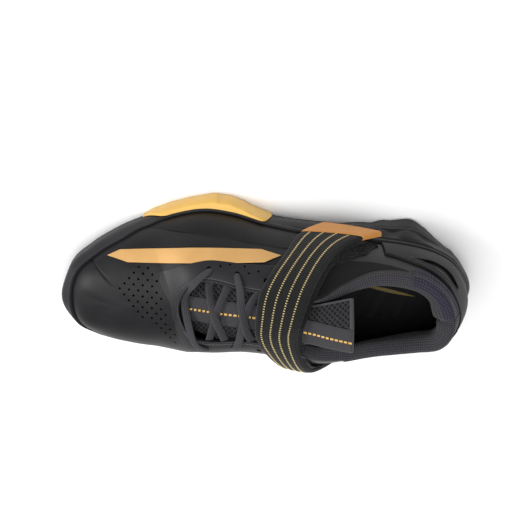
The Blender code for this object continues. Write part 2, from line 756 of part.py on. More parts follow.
def join_to(piece, other):
    """Hides the other piece and adds it to this one."""
    other.hide_render = True
    other.display_type = "WIRE"
    add = piece.modifiers.new(other.name, "BOOLEAN")
    add.operation = "UNION"
    add.object = other


def lace_points(route):
    """The points of one run of lace, from rows of LACES."""
    up = np.array([-0.3, 0.0, 1.0])
    eyelets = {(side, number): (a, h) for side, number, a, h in eyelet_places()}
    points = []
    for row in route:
        stand = OVERLAY + 3 * GAP + LACE_THICKNESS / 2
        if row[0] == "eyelet":
            a, h = eyelets[row[1], row[2]]
            points.append((off_last(a, h, stand), normal(a, h)))
        elif row[0] == "edge":
            a = place(row[1], row[2])
            points.append((off_last(a, 1, stand), normal(a, 1)))
        else:
            x, y, lift = row
            points.append((on_tongue(x * LENGTH, y * half_width(x * LENGTH), lift * LACE_THICKNESS), unit(up)))
    return points


def laces(finish):
    """The front bar and the two crossings. Each crossing's upper run is joined to the one under it."""
    for name, runs in LACES.items():
        made = []
        for number, route in enumerate(runs):
            made.append(ribbon(f"{name}_{number}", lace_points(route), finish, LACE_WIDTH, LACE_THICKNESS))
        made[0].name = name
        for other in made[1:]:
            join_to(made[0], other)


def eyestay(finish):
    """The overlay round the throat. Ahead of the throat its two sides meet on the ridge of the vamp."""
    front, back, rows = EYESTAY_FRONT, EYESTAY_BACK, 4
    sections = [back + (front - back) * i / 18 for i in range(19)]
    sections = sorted(sections + [float(V)])
    surface = Surface()
    grids = {}
    for side in (LATERAL, MEDIAL):
        inner, outer = [], []
        for r in sections:
            a = place(side, r)
            low = from_table(EYESTAY, r, 1 if side == LATERAL else 2)
            heights = [low + (1 - low) * i / rows for i in range(rows + 1)]
            inner.append([off_last(a, h, GAP) for h in heights])
            outer.append([off_last(a, h, GAP + OVERLAY) for h in heights])
        grids[side] = inner, outer
        for i in range(len(sections) - 1):
            surface.band(outer[i], outer[i + 1], closed=False)
            surface.band(inner[i], inner[i + 1], closed=False)
            surface.face(inner[i][0], inner[i + 1][0], outer[i + 1][0], outer[i][0])
            if sections[i + 1] <= V:
                surface.face(inner[i][-1], inner[i + 1][-1], outer[i + 1][-1], outer[i][-1])
        surface.band(inner[0], outer[0], closed=False)
        surface.band(inner[-1], outer[-1], closed=False)
    piece = surface.build("eyestay", finish)
    punch_eyelets(piece)
    return piece


def heel_clip(finish):
    """The counter that wraps the heel above the sole, with a lens-shaped window on each side."""
    count, end = 26, HEEL_CLIP[-1][0]
    sections = [end * (2 * i / count - 1) for i in range(count + 1)]

    def patch(name, low_column, high_column, inner, outer, rows, edges):
        under, over = [], []
        for s in edges:
            a = s % (2 * N)
            low = from_table(HEEL_CLIP, abs(s), low_column)
            high = from_table(HEEL_CLIP, abs(s), high_column)
            bottom = rim_share(a) + CLIP_LIFT
            low, high = bottom + low * (1 - bottom), bottom + high * (1 - bottom)
            heights = [low + (high - low) * i / rows for i in range(rows + 1)]
            under.append([off_last(a, h, inner) for h in heights])
            over.append([off_last(a, h, outer) for h in heights])
        return closed_grid(name, under, over, finish)

    piece = patch("heel_clip", 1, 4, GAP, GAP + CLIP_WALL, 5, sections)
    for side, name in ((1, "lateral"), (-1, "medial")):
        lens = [side * (WINDOW_START + (WINDOW_END - WINDOW_START) * i / 10) for i in range(11)]
        cut_with(piece, patch(f"window_{name}", 2, 3, -CLIP_WALL, 4 * CLIP_WALL, 2, lens))
    return piece


def landing_patch(finish):
    """The fuzzy patch on the lateral quarter that the strap fastens to."""
    rows, count = 3, 12
    under, over = [], []
    for i in range(count + 1):
        r = LANDING[0][0] + (LANDING[-1][0] - LANDING[0][0]) * i / count
        a = place(LATERAL, r)
        low, high = from_table(LANDING, r, 1), from_table(LANDING, r, 2)
        heights = [low + (high - low) * j / rows for j in range(rows + 1)]
        under.append([off_last(a, h, GAP) for h in heights])
        over.append([off_last(a, h, GAP + PATCH) for h in heights])
    return closed_grid("strap_landing", under, over, finish)


def collar(finish):
    """The padded topline: it lines the inside of the collar and rolls over the edge of the wall."""
    count = 36
    loops = []
    for i in range(count + 1):
        s = COLLAR_END * (2 * i / count - 1)
        a = s % (2 * N)
        pad = COLLAR_PAD * from_table(COLLAR, abs(s), 1)
        crest = COLLAR_CREST * from_table(COLLAR, abs(s), 2)
        depth = COLLAR_DEPTH * from_table(COLLAR, abs(s), 3)
        edge, out = last(a, 1), normal(a, 1)
        up = unit(edge - last(a, 0.97))
        clear = WALL + 1.8 * GAP

        def inside(distance, below):
            return off_last(a, 1 - below / wall_height(a), distance)

        def above(distance, over):
            return edge + out * distance + up * over

        loops.append(
            [
                inside(-clear, depth),
                inside(-clear, 0.5 * depth),
                inside(-clear, 0.0),
                above(-clear, GAP),
                above(0.15 * WALL, GAP),
                above(0.25 * WALL, 0.45 * crest),
                above(-0.5 * clear, 0.9 * crest),
                above(-clear - 0.35 * pad, crest),
                above(-clear - 0.8 * pad, 0.55 * crest),
                inside(-clear - pad, 0.12 * depth),
                inside(-clear - pad, 0.4 * depth),
                inside(-clear - 0.62 * pad, 0.75 * depth),
                inside(-clear - 0.15 * pad, depth),
            ]
        )
    return loft("collar", loops, finish)


def wall_height(a):
    """Length of the wall from its foot to its top edge at one place."""
    heights = [i / 12 for i in range(13)]
    return sum(np.linalg.norm(last(a, high) - last(a, low)) for low, high in zip(heights, heights[1:]))


def strap_row(row):
    """The front and rear ends of one line across the strap, and the way out there."""
    kind, *values = row
    if kind == "over":
        front_x, rear_x, y, front_z, rear_z, lean = values
        high = BALL_STACK + INSTEP_RISE
        ends = [
            np.array([x * LENGTH, y * half_width(x * LENGTH), z * high])
            for x, z in ((front_x, front_z), (rear_x, rear_z))
        ]
        return ends, [unit(np.array([0.2, lean, 1.0]))] * 2
    side = LATERAL if kind == "lateral" else MEDIAL
    front_r, front_h, rear_r, rear_h, front_off, rear_off = values
    ends, outs = [], []
    for r, h, stand in ((front_r, front_h, front_off), (rear_r, rear_h, rear_off)):
        a = place(side, r)
        ends.append(off_last(a, h, stand * STRAP_THICKNESS))
        outs.append(normal(a, h))
    return ends, outs


def strap_grid(first, final, lower, upper):
    """Grids of points under and over the strap between two rows of STRAP, counted from the medial end."""
    ends = [strap_row(row) for row in STRAP]
    count = max(2, round(4 * (final - first)))
    under, over = [], []
    for i in range(count + 1):
        t = first + (final - first) * i / count
        front, rear = (through([e[0][k] for e in ends], t, False) for k in (0, 1))
        out_front, out_rear = (unit(through([e[1][k] for e in ends], t, False)) for k in (0, 1))
        low_line, high_line = [], []
        for v in (0, 0.08, 0.36, 0.64, 0.92, 1):
            point = front + (rear - front) * v
            out = unit(out_front + (out_rear - out_front) * v)
            crown = STRAP_CROWN * (1 - (2 * v - 1) ** 2)
            low_line.append(point + out * (lower + crown))
            high_line.append(point + out * (crown + (upper if 0 < v < 1 else 0.55 * (upper - lower) + lower)))
        under.append(low_line)
        over.append(high_line)
    return under, over


def strap(finish):
    """The instep strap, from the medial side of the sole, over the lacing, to the landing patch."""
    under, over = strap_grid(0, len(STRAP) - 2 - STRAP_JOINT, 0, STRAP_THICKNESS)
    return closed_grid("strap", under, over, finish)


def strap_tip(finish):
    """The moulded end of the strap."""
    under, over = strap_grid(len(STRAP) - 2, len(STRAP) - 1, -0.2 * TIP_THICKNESS, TIP_THICKNESS)
    return closed_grid("strap_tip", under, over, finish)


def clear_scene():
    for old in list(bpy.data.objects):
        bpy.data.objects.remove(old)


def stand_on_origin():
    """Moves the shoe so that the origin is under the middle of its box."""
    bpy.context.view_layer.update()
    shown = [piece for piece in bpy.data.objects if not piece.hide_render]
    corners = [piece.matrix_world @ Vector(corner) for piece in shown for corner in piece.bound_box]
    low, high = ([pick(corner[i] for corner in corners) for i in range(3)] for pick in (min, max))
    shift = Vector(((low[0] + high[0]) / 2, (low[1] + high[1]) / 2, low[2]))
    for piece in bpy.data.objects:
        piece.location -= shift


def build_all():
    leather = material("synthetic_leather", (0.022, 0.021, 0.023), 0.5)
    overlay = material("overlay_leather", (0.035, 0.034, 0.036), 0.45)
    foam = material("midsole_plastic", (0.045, 0.046, 0.048), 0.5)
    rubber = material("outsole_rubber", (0.03, 0.03, 0.031), 0.7)
    yellow = material("outrigger_plastic", (0.79, 0.53, 0.13), 0.35)
    gold = material("strap_tip_plastic", (0.48, 0.25, 0.075), 0.35)
    webbing = material("strap_webbing", (0.012, 0.012, 0.012), 0.85)
    hook = material("landing_fleece", (0.008, 0.008, 0.008), 0.95)
    knit = material("collar_knit", (0.05, 0.05, 0.055), 0.9)
    mesh = material("tongue_mesh", (0.02, 0.02, 0.02), 0.9)
    tape = material("label_webbing", (0.055, 0.055, 0.055), 0.8)
    cord = material("lace_braid", (0.06, 0.06, 0.063), 0.85)
    board = material("insole_foam", (0.03, 0.03, 0.03), 0.9)
    clip = material("heel_clip_plastic", (0.05, 0.05, 0.055), 0.4)
    upper(leather)
    midsole(foam)
    outsole(rubber)
    outrigger(yellow)
    insole(board)
    tongue(mesh)
    tongue_label(tape)
    laces(cord)
    eyestay(overlay)
    heel_clip(clip)
    landing_patch(hook)
    collar(knit)
    strap(webbing)
    strap_tip(gold)


clear_scene()
build_all()
stand_on_origin()
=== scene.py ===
# %% [markdown]
# # A right shoe for weightlifting
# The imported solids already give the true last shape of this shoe, so nothing here changes its size. This lesson
# dresses them: each piece is drawn again on the same surface, with many more points, and gets the finish of the real
# material. The shoe stands empty on its sole, toe to the left in the picture, and is seen from above.

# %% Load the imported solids
import math

import bmesh
import bpy
import numpy as np
from mathutils import Matrix, Vector
from mathutils.bvhtree import BVHTree


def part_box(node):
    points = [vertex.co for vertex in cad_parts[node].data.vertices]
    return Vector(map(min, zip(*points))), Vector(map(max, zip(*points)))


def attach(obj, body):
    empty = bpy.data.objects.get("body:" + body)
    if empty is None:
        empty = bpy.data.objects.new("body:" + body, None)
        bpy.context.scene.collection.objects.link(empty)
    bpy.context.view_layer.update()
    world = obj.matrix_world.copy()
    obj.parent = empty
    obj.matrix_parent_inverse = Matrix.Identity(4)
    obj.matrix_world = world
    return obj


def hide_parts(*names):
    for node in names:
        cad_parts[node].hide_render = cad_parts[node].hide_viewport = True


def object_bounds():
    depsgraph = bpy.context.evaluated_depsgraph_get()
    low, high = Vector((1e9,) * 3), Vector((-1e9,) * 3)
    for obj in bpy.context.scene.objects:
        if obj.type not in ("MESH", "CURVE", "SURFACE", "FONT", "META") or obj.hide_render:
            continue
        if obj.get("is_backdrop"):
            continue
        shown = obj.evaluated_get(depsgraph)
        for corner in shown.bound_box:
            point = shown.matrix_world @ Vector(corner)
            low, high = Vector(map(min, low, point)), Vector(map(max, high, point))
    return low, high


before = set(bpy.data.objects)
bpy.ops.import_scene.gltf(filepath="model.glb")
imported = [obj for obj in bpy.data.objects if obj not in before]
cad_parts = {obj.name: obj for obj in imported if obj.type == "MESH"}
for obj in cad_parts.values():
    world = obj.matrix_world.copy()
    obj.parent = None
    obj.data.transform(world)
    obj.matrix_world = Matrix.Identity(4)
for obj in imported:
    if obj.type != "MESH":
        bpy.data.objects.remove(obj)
cad_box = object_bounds()
print("solids:", len(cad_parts))

# %% [markdown]
# ## The sizes of the shoe
# These are the sizes that the solids were built with, in metres unless a note says otherwise. A shoe is measured along
# its sole from the heel, and everything across it is a share of the width there, so the same names serve every piece.

# %% Sizes and thicknesses
LENGTH = 0.300
BALL_WIDTH = 0.102
HEEL_WIDTH = 0.062
HEEL_STACK = 0.034
BALL_STACK = 0.015
TOE_SPRING = 0.007
TOE_LIFT = 0.008
HEEL_BEVEL = 0.005
COLLAR_RISE = 0.064
INSTEP_RISE = 0.065
TOE_RISE = 0.026
WALL = 0.0018
GAP = 0.0003
TREAD = 0.004
TOE_WRAP = 1.2  # share by which the tread's edge is higher at the toe
GROOVE_DEPTH = 0.0015
GROOVE_WIDTH = 0.003
INSOLE = 0.004
RIM_WALL = 0.0024
OVERLAY = 0.0009
CLIP_WALL = 0.0014
PATCH = 0.0014
COLLAR_PAD = 0.0095
COLLAR_DEPTH = 0.033
COLLAR_CREST = 0.0050
TONGUE_PAD = 0.0050
LABEL_WIDTH = 0.0165
LABEL_THICKNESS = 0.0012
LACE_WIDTH = 0.0068
LACE_THICKNESS = 0.0021
EYELET_RADIUS = 0.0019
STRAP_THICKNESS = 0.0026
STRAP_CROWN = 0.0006
STRAP_JOINT = 0.025  # in rows of the strap's table
TIP_THICKNESS = 0.0032
CLIP_LIFT = 0.012
MM = 0.001  # one millimetre
LATERAL, MEDIAL = -1, 1
SHARP_ANGLE = 40  # degrees, from which an edge is drawn sharp
print("length, ball width and heel height, mm:", *(round(size / MM, 1) for size in (LENGTH, BALL_WIDTH, HEEL_STACK)))

# %% [markdown]
# ## The last
# A shoe is built over a last, a solid foot shape. Here the last is a set of sections from heel to toe. Each row gives
# the foot of the wall, its top, and the two handles of the curve between them. Any point of the leather is then found
# from two numbers: how far round the shoe it is, and how far up the wall.

# %% The last's sections and the side of the sole
SECTIONS = [
    # x lat med top_x t_lat t_med top_z low_lat low_med low_up high_lat high_med high_up
    (0.027, 0.000, 0.000, 0.058, 0.000, 0.000, 1.000, 0.24, 0.24, 0.23, 0.26, 0.26, -0.35),
    (0.045, 0.543, 0.540, 0.067, 0.400, 0.360, 0.995, 0.19, 0.19, 0.24, 0.20, 0.20, -0.35),
    (0.083, 0.830, 0.800, 0.095, 0.740, 0.640, 0.950, 0.17, 0.17, 0.25, 0.16, 0.16, -0.35),
    (0.150, 0.980, 0.905, 0.150, 0.920, 0.760, 0.840, 0.16, 0.17, 0.25, 0.15, 0.18, -0.35),
    (0.250, 1.010, 0.890, 0.240, 0.880, 0.800, 0.800, 0.12, 0.21, 0.25, 0.16, 0.28, -0.35),
    (0.335, 0.985, 0.850, 0.317, 0.600, 0.790, 0.870, 0.10, 0.24, 0.27, 0.30, 0.32, -0.33),
    (0.420, 0.960, 0.790, 0.383, 0.340, 0.690, 0.970, 0.08, 0.22, 0.27, 0.40, 0.34, -0.21),
    (0.500, 0.965, 0.775, 0.460, 0.330, 0.490, 0.974, 0.06, 0.14, 0.28, 0.38, 0.40, -0.14),
    (0.580, 1.035, 0.813, 0.550, 0.332, 0.443, 0.997, 0.05, 0.07, 0.31, 0.38, 0.38, -0.10),
    (0.650, 1.070, 0.873, 0.633, 0.392, 0.510, 1.090, 0.05, 0.05, 0.36, 0.35, 0.35, -0.10),
    (0.720, 1.000, 0.900, 0.683, 0.294, 0.441, 1.188, 0.06, 0.12, 0.43, 0.39, 0.39, -0.095),
    (0.790, 0.870, 0.880, 0.710, -0.078, 0.078, 1.220, 0.06, 0.15, 0.54, 0.51, 0.51, 0.0),
    (0.860, 0.700, 0.795, 0.760, -0.098, 0.098, 1.264, 0.06, 0.18, 0.62, 0.43, 0.43, 0.0),
    (0.920, 0.480, 0.690, 0.820, -0.127, 0.127, 1.270, 0.07, 0.11, 0.63, 0.37, 0.37, 0.0),
    (0.962, 0.235, 0.510, 0.873, -0.157, 0.157, 1.100, 0.08, 0.08, 0.59, 0.33, 0.33, 0.0),
    (0.979, -0.157, 0.157, 0.873, -0.157, 0.157, 1.100, 0.08, 0.08, 0.55, 0.31, 0.31, 0.0),
]
N = len(SECTIONS) - 1
V = 11  # the section at the front point of the throat
POLE = N - 1  # the section where the ridge of the vamp ends
SOLE_SIDE = [
    # section foot_lat foot_med mid_lat mid_med rim_lat rim_med
    (0.0, -0.06, -0.06, 0.26, 0.26, 0.36, 0.36),
    (1.0, 0.120, 0.120, 0.190, 0.190, 0.34, 0.34),
    (2.0, 0.150, 0.160, 0.170, 0.180, 0.30, 0.30),
    (2.6, 0.310, 0.240, 0.250, 0.200, 0.28, 0.28),
    (3.0, 0.350, 0.250, 0.240, 0.190, 0.28, 0.28),
    (3.6, 0.230, 0.210, 0.190, 0.170, 0.28, 0.28),
    (4.0, 0.110, 0.130, 0.140, 0.140, 0.30, 0.30),
    (5.0, 0.030, 0.050, 0.125, 0.110, 0.36, 0.36),
    (6.0, 0.030, 0.050, 0.115, 0.110, 0.40, 0.42),
    (7.0, 0.050, 0.060, 0.080, 0.090, 0.30, 0.48),
    (8.0, 0.070, 0.070, 0.080, 0.090, 0.12, 0.52),
    (10.0, 0.070, 0.080, 0.080, 0.090, 0.12, 0.54),
    (11.0, 0.085, 0.060, 0.090, 0.066, 0.30, 0.46),
    (12.0, 0.085, 0.052, 0.090, 0.056, 0.56, 0.38),
    (13.0, 0.100, 0.045, 0.100, 0.050, 0.58, 0.40),
    (14.0, 0.125, 0.076, 0.120, 0.078, 0.59, 0.47),
    (15.0, 0.150, 0.150, 0.140, 0.140, 0.60, 0.60),
]
print("sections from heel to toe:", len(SECTIONS))

# %% [markdown]
# ## Curves through a few points
# A smooth curve through measured points is what a pattern cutter draws with a flexible rule. The curve from one point
# to the next is a cubic that also looks at the point before and the one after. It works on whole arrays at once, so
# that a fine surface of 50,000 points takes no time.


# %% Curves, tables and directions
def smooth(t):
    """A share from 0 to 1 with level ends."""
    t = np.clip(t, 0.0, 1.0)
    return t * t * (3 - 2 * t)


def unit(v):
    return v / np.maximum(1e-12, np.linalg.norm(v, axis=-1, keepdims=True))


def run_length(line):
    """How far along a line of points each of them lies."""
    return np.concatenate([[0], np.cumsum(np.linalg.norm(np.diff(line, axis=0), axis=1))])


def through(points, t, closed=False):
    """Places on a curve through points that lie at 0, 1, 2 and so on."""
    points, t = np.asarray(points, float), np.asarray(t, float)
    count = len(points)
    if closed:
        i = np.floor(t).astype(int)
        u = (t - i)[..., None]
        p0, p1, p2, p3 = (points[(i + k) % count] for k in (-1, 0, 1, 2))
    else:
        longer = np.vstack([2 * points[:1] - points[1:2], points, 2 * points[-1:] - points[-2:-1]])
        i = np.clip(np.floor(t).astype(int), 0, count - 2)
        u = np.clip(t - i, 0, 1)[..., None]
        p0, p1, p2, p3 = (longer[i + k] for k in range(4))
    return 0.5 * (
        2 * p1 + (p2 - p0) * u + (2 * p0 - 5 * p1 + 4 * p2 - p3) * u**2 + (3 * p1 - p0 - 3 * p2 + p3) * u**3
    )


def from_table(rows, t, column):
    """A table's column at t, eased between its rows, whose first column rises."""
    keys = np.array([row[0] for row in rows], float)
    values = np.array([row[column] for row in rows], float)
    t = np.clip(t, keys[0], keys[-1])
    i = np.clip(np.searchsorted(keys, t, side="left") - 1, 0, len(keys) - 2)
    return values[i] + (values[i + 1] - values[i]) * smooth((t - keys[i]) / (keys[i + 1] - keys[i]))


def curved(rows, t, column):
    """The same, on a curve through the rows in place of an eased step between them."""
    keys = [row[0] for row in rows]
    place_in = np.interp(t, keys, range(len(keys)))
    return through(np.array([[row[column]] for row in rows], float), place_in)[..., 0]


# %% [markdown]
# ## Points on the leather
# `last(a, h)` is the one function that every piece uses. `a` counts the sections once round the shoe: heel, lateral
# side, toe, medial side. `h` goes from 0 at the foot of the wall to 1 at its top edge.


# %% The surface of the last
def half_width(x):
    return (HEEL_WIDTH + (BALL_WIDTH - HEEL_WIDTH) * smooth(x / (0.65 * LENGTH))) / 2


def bed(x):
    """Height of the footbed: a wedge from heel to ball, then the toe spring."""
    spring = np.maximum(0.0, (x / LENGTH - 0.72) / 0.28) ** 1.6
    return HEEL_STACK + (BALL_STACK - HEEL_STACK) * smooth((x / LENGTH - 0.25) / 0.41) + TOE_SPRING * spring


def tread_level(x):
    """Height of the tread: flat, with a bevel at the heel and a lift at the toe."""
    lift = np.maximum(0.0, (x / LENGTH - 0.74) / 0.26) ** 2
    return TOE_LIFT * lift + HEEL_BEVEL * np.maximum(0.0, 1 - x / (0.085 * LENGTH)) ** 1.5


def rise(x):
    instep = INSTEP_RISE + (COLLAR_RISE - INSTEP_RISE) * (1 - smooth(x / (0.45 * LENGTH)))
    return instep + (TOE_RISE - INSTEP_RISE) * smooth((x / LENGTH - 0.45) / 0.423)


def section_rows():
    """The foot, the two handles and the top of each section, once round the shoe."""
    order = [(r, LATERAL) for r in range(N + 1)] + [(r, MEDIAL) for r in range(N - 1, 0, -1)]
    foot, top = [], []
    for r, side in order:
        x, lat, med, top_x, top_lat, top_med, top_z, *_ = SECTIONS[r]
        x, top_x = x * LENGTH, top_x * LENGTH
        share, top_share = (lat, top_lat) if side == LATERAL else (med, top_med)
        foot.append(np.array([x, side * share * half_width(x), bed(x)]))
        top.append(np.array([top_x, side * top_share * half_width(top_x), bed(top_x) + top_z * rise(top_x)]))
    ridge = [top[r] for r in range(V, POLE + 1)]
    low, high = [], []
    for k, (r, side) in enumerate(order):
        low_lat, low_med, low_up, high_lat, high_med, high_up = SECTIONS[r][7:]
        low_out, high_out = (low_lat, high_lat) if side == LATERAL else (low_med, high_med)
        along = foot[(k + 1) % (2 * N)] - foot[k - 1]
        out = unit(np.array([along[1], -along[0], 0.0]))
        up = np.array([0.0, 0.0, 1.0])
        low.append(foot[k] + out * low_out * half_width(foot[k][0]) + up * low_up * rise(foot[k][0]))
        if r >= V:
            i = min(r - V, len(ridge) - 2)
            forward = unit(ridge[i + 1] - ridge[i])
            out = unit(np.array([0.0, side * abs(out[1]), 0.0]) + forward * max(0.0, out[0]))
        high.append(top[k] + out * high_out * half_width(top[k][0]) + up * high_up * rise(top[k][0]))
    opening = [top[r] for r in range(V + 1)] + [top[2 * N - r] for r in range(V - 1, 0, -1)]
    return foot, low, high, opening, ridge


FOOT, LOW, HIGH, OPENING, RIDGE = section_rows()


def section_of(a):
    """The section at a, which is the same on both sides."""
    a = np.asarray(a, float) % (2 * N)
    return np.where(a <= N, a, 2 * N - a)


def place(side, section):
    """The other way round: the place on one side at a section."""
    return (-side * np.asarray(section, float)) % (2 * N)


def top_edge(a):
    """The topline and the throat, then the ridge of the vamp, then the toe box."""
    r = section_of(a)
    lateral = np.asarray(a, float) % (2 * N) <= N
    opening = through(OPENING, np.where(lateral, np.minimum(r, V), 2 * V - np.minimum(r, V)), closed=True)
    ridge = through(RIDGE, np.clip(r - V, 0, POLE - V))
    return np.where((r <= V)[..., None], opening, ridge)


def last(a, h):
    """A point of the upper's outer face."""
    a, h = np.broadcast_arrays(np.asarray(a, float), np.asarray(h, float))
    p0, p1, p2 = (through(points, a, closed=True) for points in (FOOT, LOW, HIGH))
    g, h = (1 - h)[..., None], h[..., None]
    return p0 * g**3 + 3 * p1 * g * g * h + 3 * p2 * g * h * h + top_edge(a) * h**3


def normal(a, h):
    """Outward direction of the upper's face."""
    a, h = np.broadcast_arrays(np.asarray(a, float), np.asarray(h, float))
    near = np.minimum(h, 0.985)
    round_it = last(a + 0.01, near) - last(a - 0.01, near)
    up_it = last(a, np.minimum(1.0, near + 0.01)) - last(a, np.maximum(0.0, near - 0.01))
    side = -unit(np.cross(up_it, round_it))
    i = np.clip(section_of(a) - V, 0, POLE - V - 0.02)
    forward = unit(through(RIDGE, i + 0.01) - through(RIDGE, i))
    over = unit(np.cross(forward, np.array([0.0, 1.0, 0.0])))
    return np.where(((section_of(a) >= V) & (h > 0.985))[..., None], over, side)


def off_last(a, h, distance):
    """A point that stands off the leather, outwards where distance is positive."""
    distance = np.asarray(distance, float)
    return last(a, h) + normal(a, h) * distance[..., None]


# %% [markdown]
# ## Points on the side of the sole
# The sole follows the foot of the wall. `sole_side(a, t)` is its outer face, from the edge of the tread at t = 0 to the
# rim at t = 2. The rim lies where the wall has risen by a given height, which is found by halving again and again.


# %% The rim, the foot and the side of the sole
def share_at(a, z):
    """The height share at which the foot of the wall reaches z."""
    a = np.asarray(a, float)
    low, high = np.zeros_like(a), np.full_like(a, 0.5)
    for _ in range(24):
        middle = (low + high) / 2
        below = last(a, middle)[..., 2] < z
        low, high = np.where(below, middle, low), np.where(below, high, middle)
    return (low + high) / 2


def side_table(a, column):
    """A lateral column of SOLE_SIDE or the medial one beside it, the same at the heel and at the toe."""
    lateral = np.asarray(a, float) % (2 * N) <= N
    r = section_of(a)
    lat, med = from_table(SOLE_SIDE, r, column), from_table(SOLE_SIDE, r, column + 1)
    value, other = np.where(lateral, lat, med), np.where(lateral, med, lat)
    return value + (other - value) * 0.5 * np.maximum(0.0, r - (N - 1))


def rim_share(a):
    return share_at(a, last(a, 0.0)[..., 2] + side_table(a, 5) * BALL_STACK)


def outward(a):
    """The level direction out of the shoe."""
    along = through(FOOT, a + 0.01, closed=True) - through(FOOT, a - 0.01, closed=True)
    return unit(np.stack([along[..., 1], -along[..., 0], np.zeros_like(along[..., 0])], axis=-1))


def at_height(point, z):
    return np.concatenate([point[..., :2], np.broadcast_to(np.asarray(z, float), point.shape[:-1])[..., None]], axis=-1)


def sole_foot(a):
    """The outline of the sole where the midsole meets the outsole."""
    foot = last(a, 0.0)
    point = foot + outward(a) * (side_table(a, 1) * half_width(foot[..., 0]))[..., None]
    wrap = TREAD * (1 + TOE_WRAP * smooth((point[..., 0] / LENGTH - 0.84) / 0.12))
    return at_height(point, tread_level(point[..., 0]) + wrap)


RIM_THINNED = 0.6  # share that the rim loses along the medial side of the toe


def rim_full(a):
    """How thick the rim is: thin along the medial side of the toe, where the leather hangs over it."""
    r, medial = section_of(a), np.asarray(a, float) % (2 * N) > N
    return 1 - RIM_THINNED * medial * smooth((r - 9.5) / 1.5) * smooth((14.6 - r) / 1.6)


def sole_side(a, t):
    """The midsole's side: t is 0 at its foot, 1 at its middle and 2 at its rim."""
    a, t = np.broadcast_arrays(np.asarray(a, float), np.asarray(t, float))
    foot = last(a, 0.0)
    low, rim = sole_foot(a), off_last(a, rim_share(a), GAP + RIM_WALL * rim_full(a))
    middle = foot + outward(a) * (side_table(a, 3) * half_width(foot[..., 0]))[..., None]
    middle = at_height(middle, low[..., 2] + 0.55 * (rim[..., 2] - low[..., 2]))
    t = t[..., None]
    first = 0.5 * (2 * low + (middle - (2 * low - middle)) * t)
    first += 0.5 * (2 * (2 * low - middle) - 5 * low + 4 * middle - rim) * t**2
    first += 0.5 * (3 * low - (2 * low - middle) - 3 * middle + rim) * t**3
    u, beyond = t - 1, 2 * rim - middle
    second = 0.5 * (2 * middle + (rim - low) * u + (2 * low - 5 * middle + 4 * rim - beyond) * u**2)
    second += 0.5 * (3 * middle - low - 3 * rim + beyond) * u**3
    return np.where(t <= 1, first, second)


# %% [markdown]
# ## Where the solids stand
# The sections are measured from the back of the heel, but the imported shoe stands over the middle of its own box. The
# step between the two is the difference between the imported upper's box and the same box worked out here.


# %% The step from the sections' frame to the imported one
def solid_columns():
    """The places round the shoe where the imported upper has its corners: closer at the heel and at the toe."""
    counts = [3 if r < 4 or r >= V - 1 else 2 for r in range(N)]
    steps = [r + i / count for r, count in enumerate(counts) for i in range(count)]
    return np.array([*place(LATERAL, steps), float(N), *place(MEDIAL, steps[:0:-1])])


SOLID_HEIGHTS = np.array([0.0, 0.12, 0.25, 0.39, 0.53, 0.67, 0.79, 0.9, 1.0])
outer_face = last(solid_columns()[:, None], SOLID_HEIGHTS[None, :]).reshape(-1, 3)
low_corner, high_corner = (np.array(corner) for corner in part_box("upper"))
STEP = low_corner - outer_face.min(axis=0)
STEP[2] = 0.0
print("step to the packed frame, mm:", np.round(STEP / MM, 2))
print("left over at the far corner, mm:", np.round((high_corner - STEP - outer_face.max(axis=0)) / MM, 3))

# %% [markdown]
# ## Closed pieces from two grids
# Leather, webbing and foam all have a thickness. So each piece is a grid of points for its outer face and one for its
# inner face, joined along the borders, and a print of the piece's own pattern coordinates in metres: along the rows
# and up the columns. A weave that uses them follows the piece round every bend, as real cloth does.


# %% Grids, shells and tubes
def arc_lengths(grid):
    """Pattern coordinates of a grid, in metres."""
    along = np.linalg.norm(np.diff(grid, axis=1), axis=2).mean(axis=0)
    up = np.linalg.norm(np.diff(grid, axis=0), axis=2)
    u = np.concatenate([[0], np.cumsum(along)])
    v = np.concatenate([np.zeros((1, grid.shape[1])), np.cumsum(up, axis=0)])
    return np.stack([np.broadcast_to(u, v.shape), v], axis=-1)


def quads(first, count):
    """Faces of a grid whose points start at number first."""
    rows, columns = count
    i, j = np.meshgrid(np.arange(rows - 1), np.arange(columns - 1), indexing="ij")
    k = (first + i * columns + j).ravel()
    return np.stack([k, k + 1, k + columns + 1, k + columns], axis=1)


def mesh_object(name, points, faces, threads, angle=SHARP_ANGLE):
    """A welded mesh with its pattern coordinates, faces outwards."""
    mesh = bpy.data.meshes.new(name)
    faces = [list(map(int, face)) for face in faces]
    mesh.from_pydata((np.asarray(points) + STEP).tolist(), [], faces)
    corners = np.concatenate([np.asarray(face, int) for face in faces])
    layer = mesh.uv_layers.new(name="threads")
    layer.data.foreach_set("uv", np.asarray(threads, np.float32)[corners].ravel())
    work = bmesh.new()
    work.from_mesh(mesh)
    bmesh.ops.remove_doubles(work, verts=work.verts[:], dist=2e-6)
    bmesh.ops.recalc_face_normals(work, faces=work.faces[:])
    loose = [edge for edge in work.edges if not edge.is_manifold]
    if loose:
        print(name, "is not closed at", len(loose), "edges, near", np.round(np.array(loose[0].verts[0].co) / MM, 1))
    work.to_mesh(mesh)
    work.free()
    mesh.shade_smooth()
    mesh.set_sharp_from_angle(angle=math.radians(angle))
    piece = bpy.data.objects.new(name, mesh)
    bpy.context.scene.collection.objects.link(piece)
    return piece


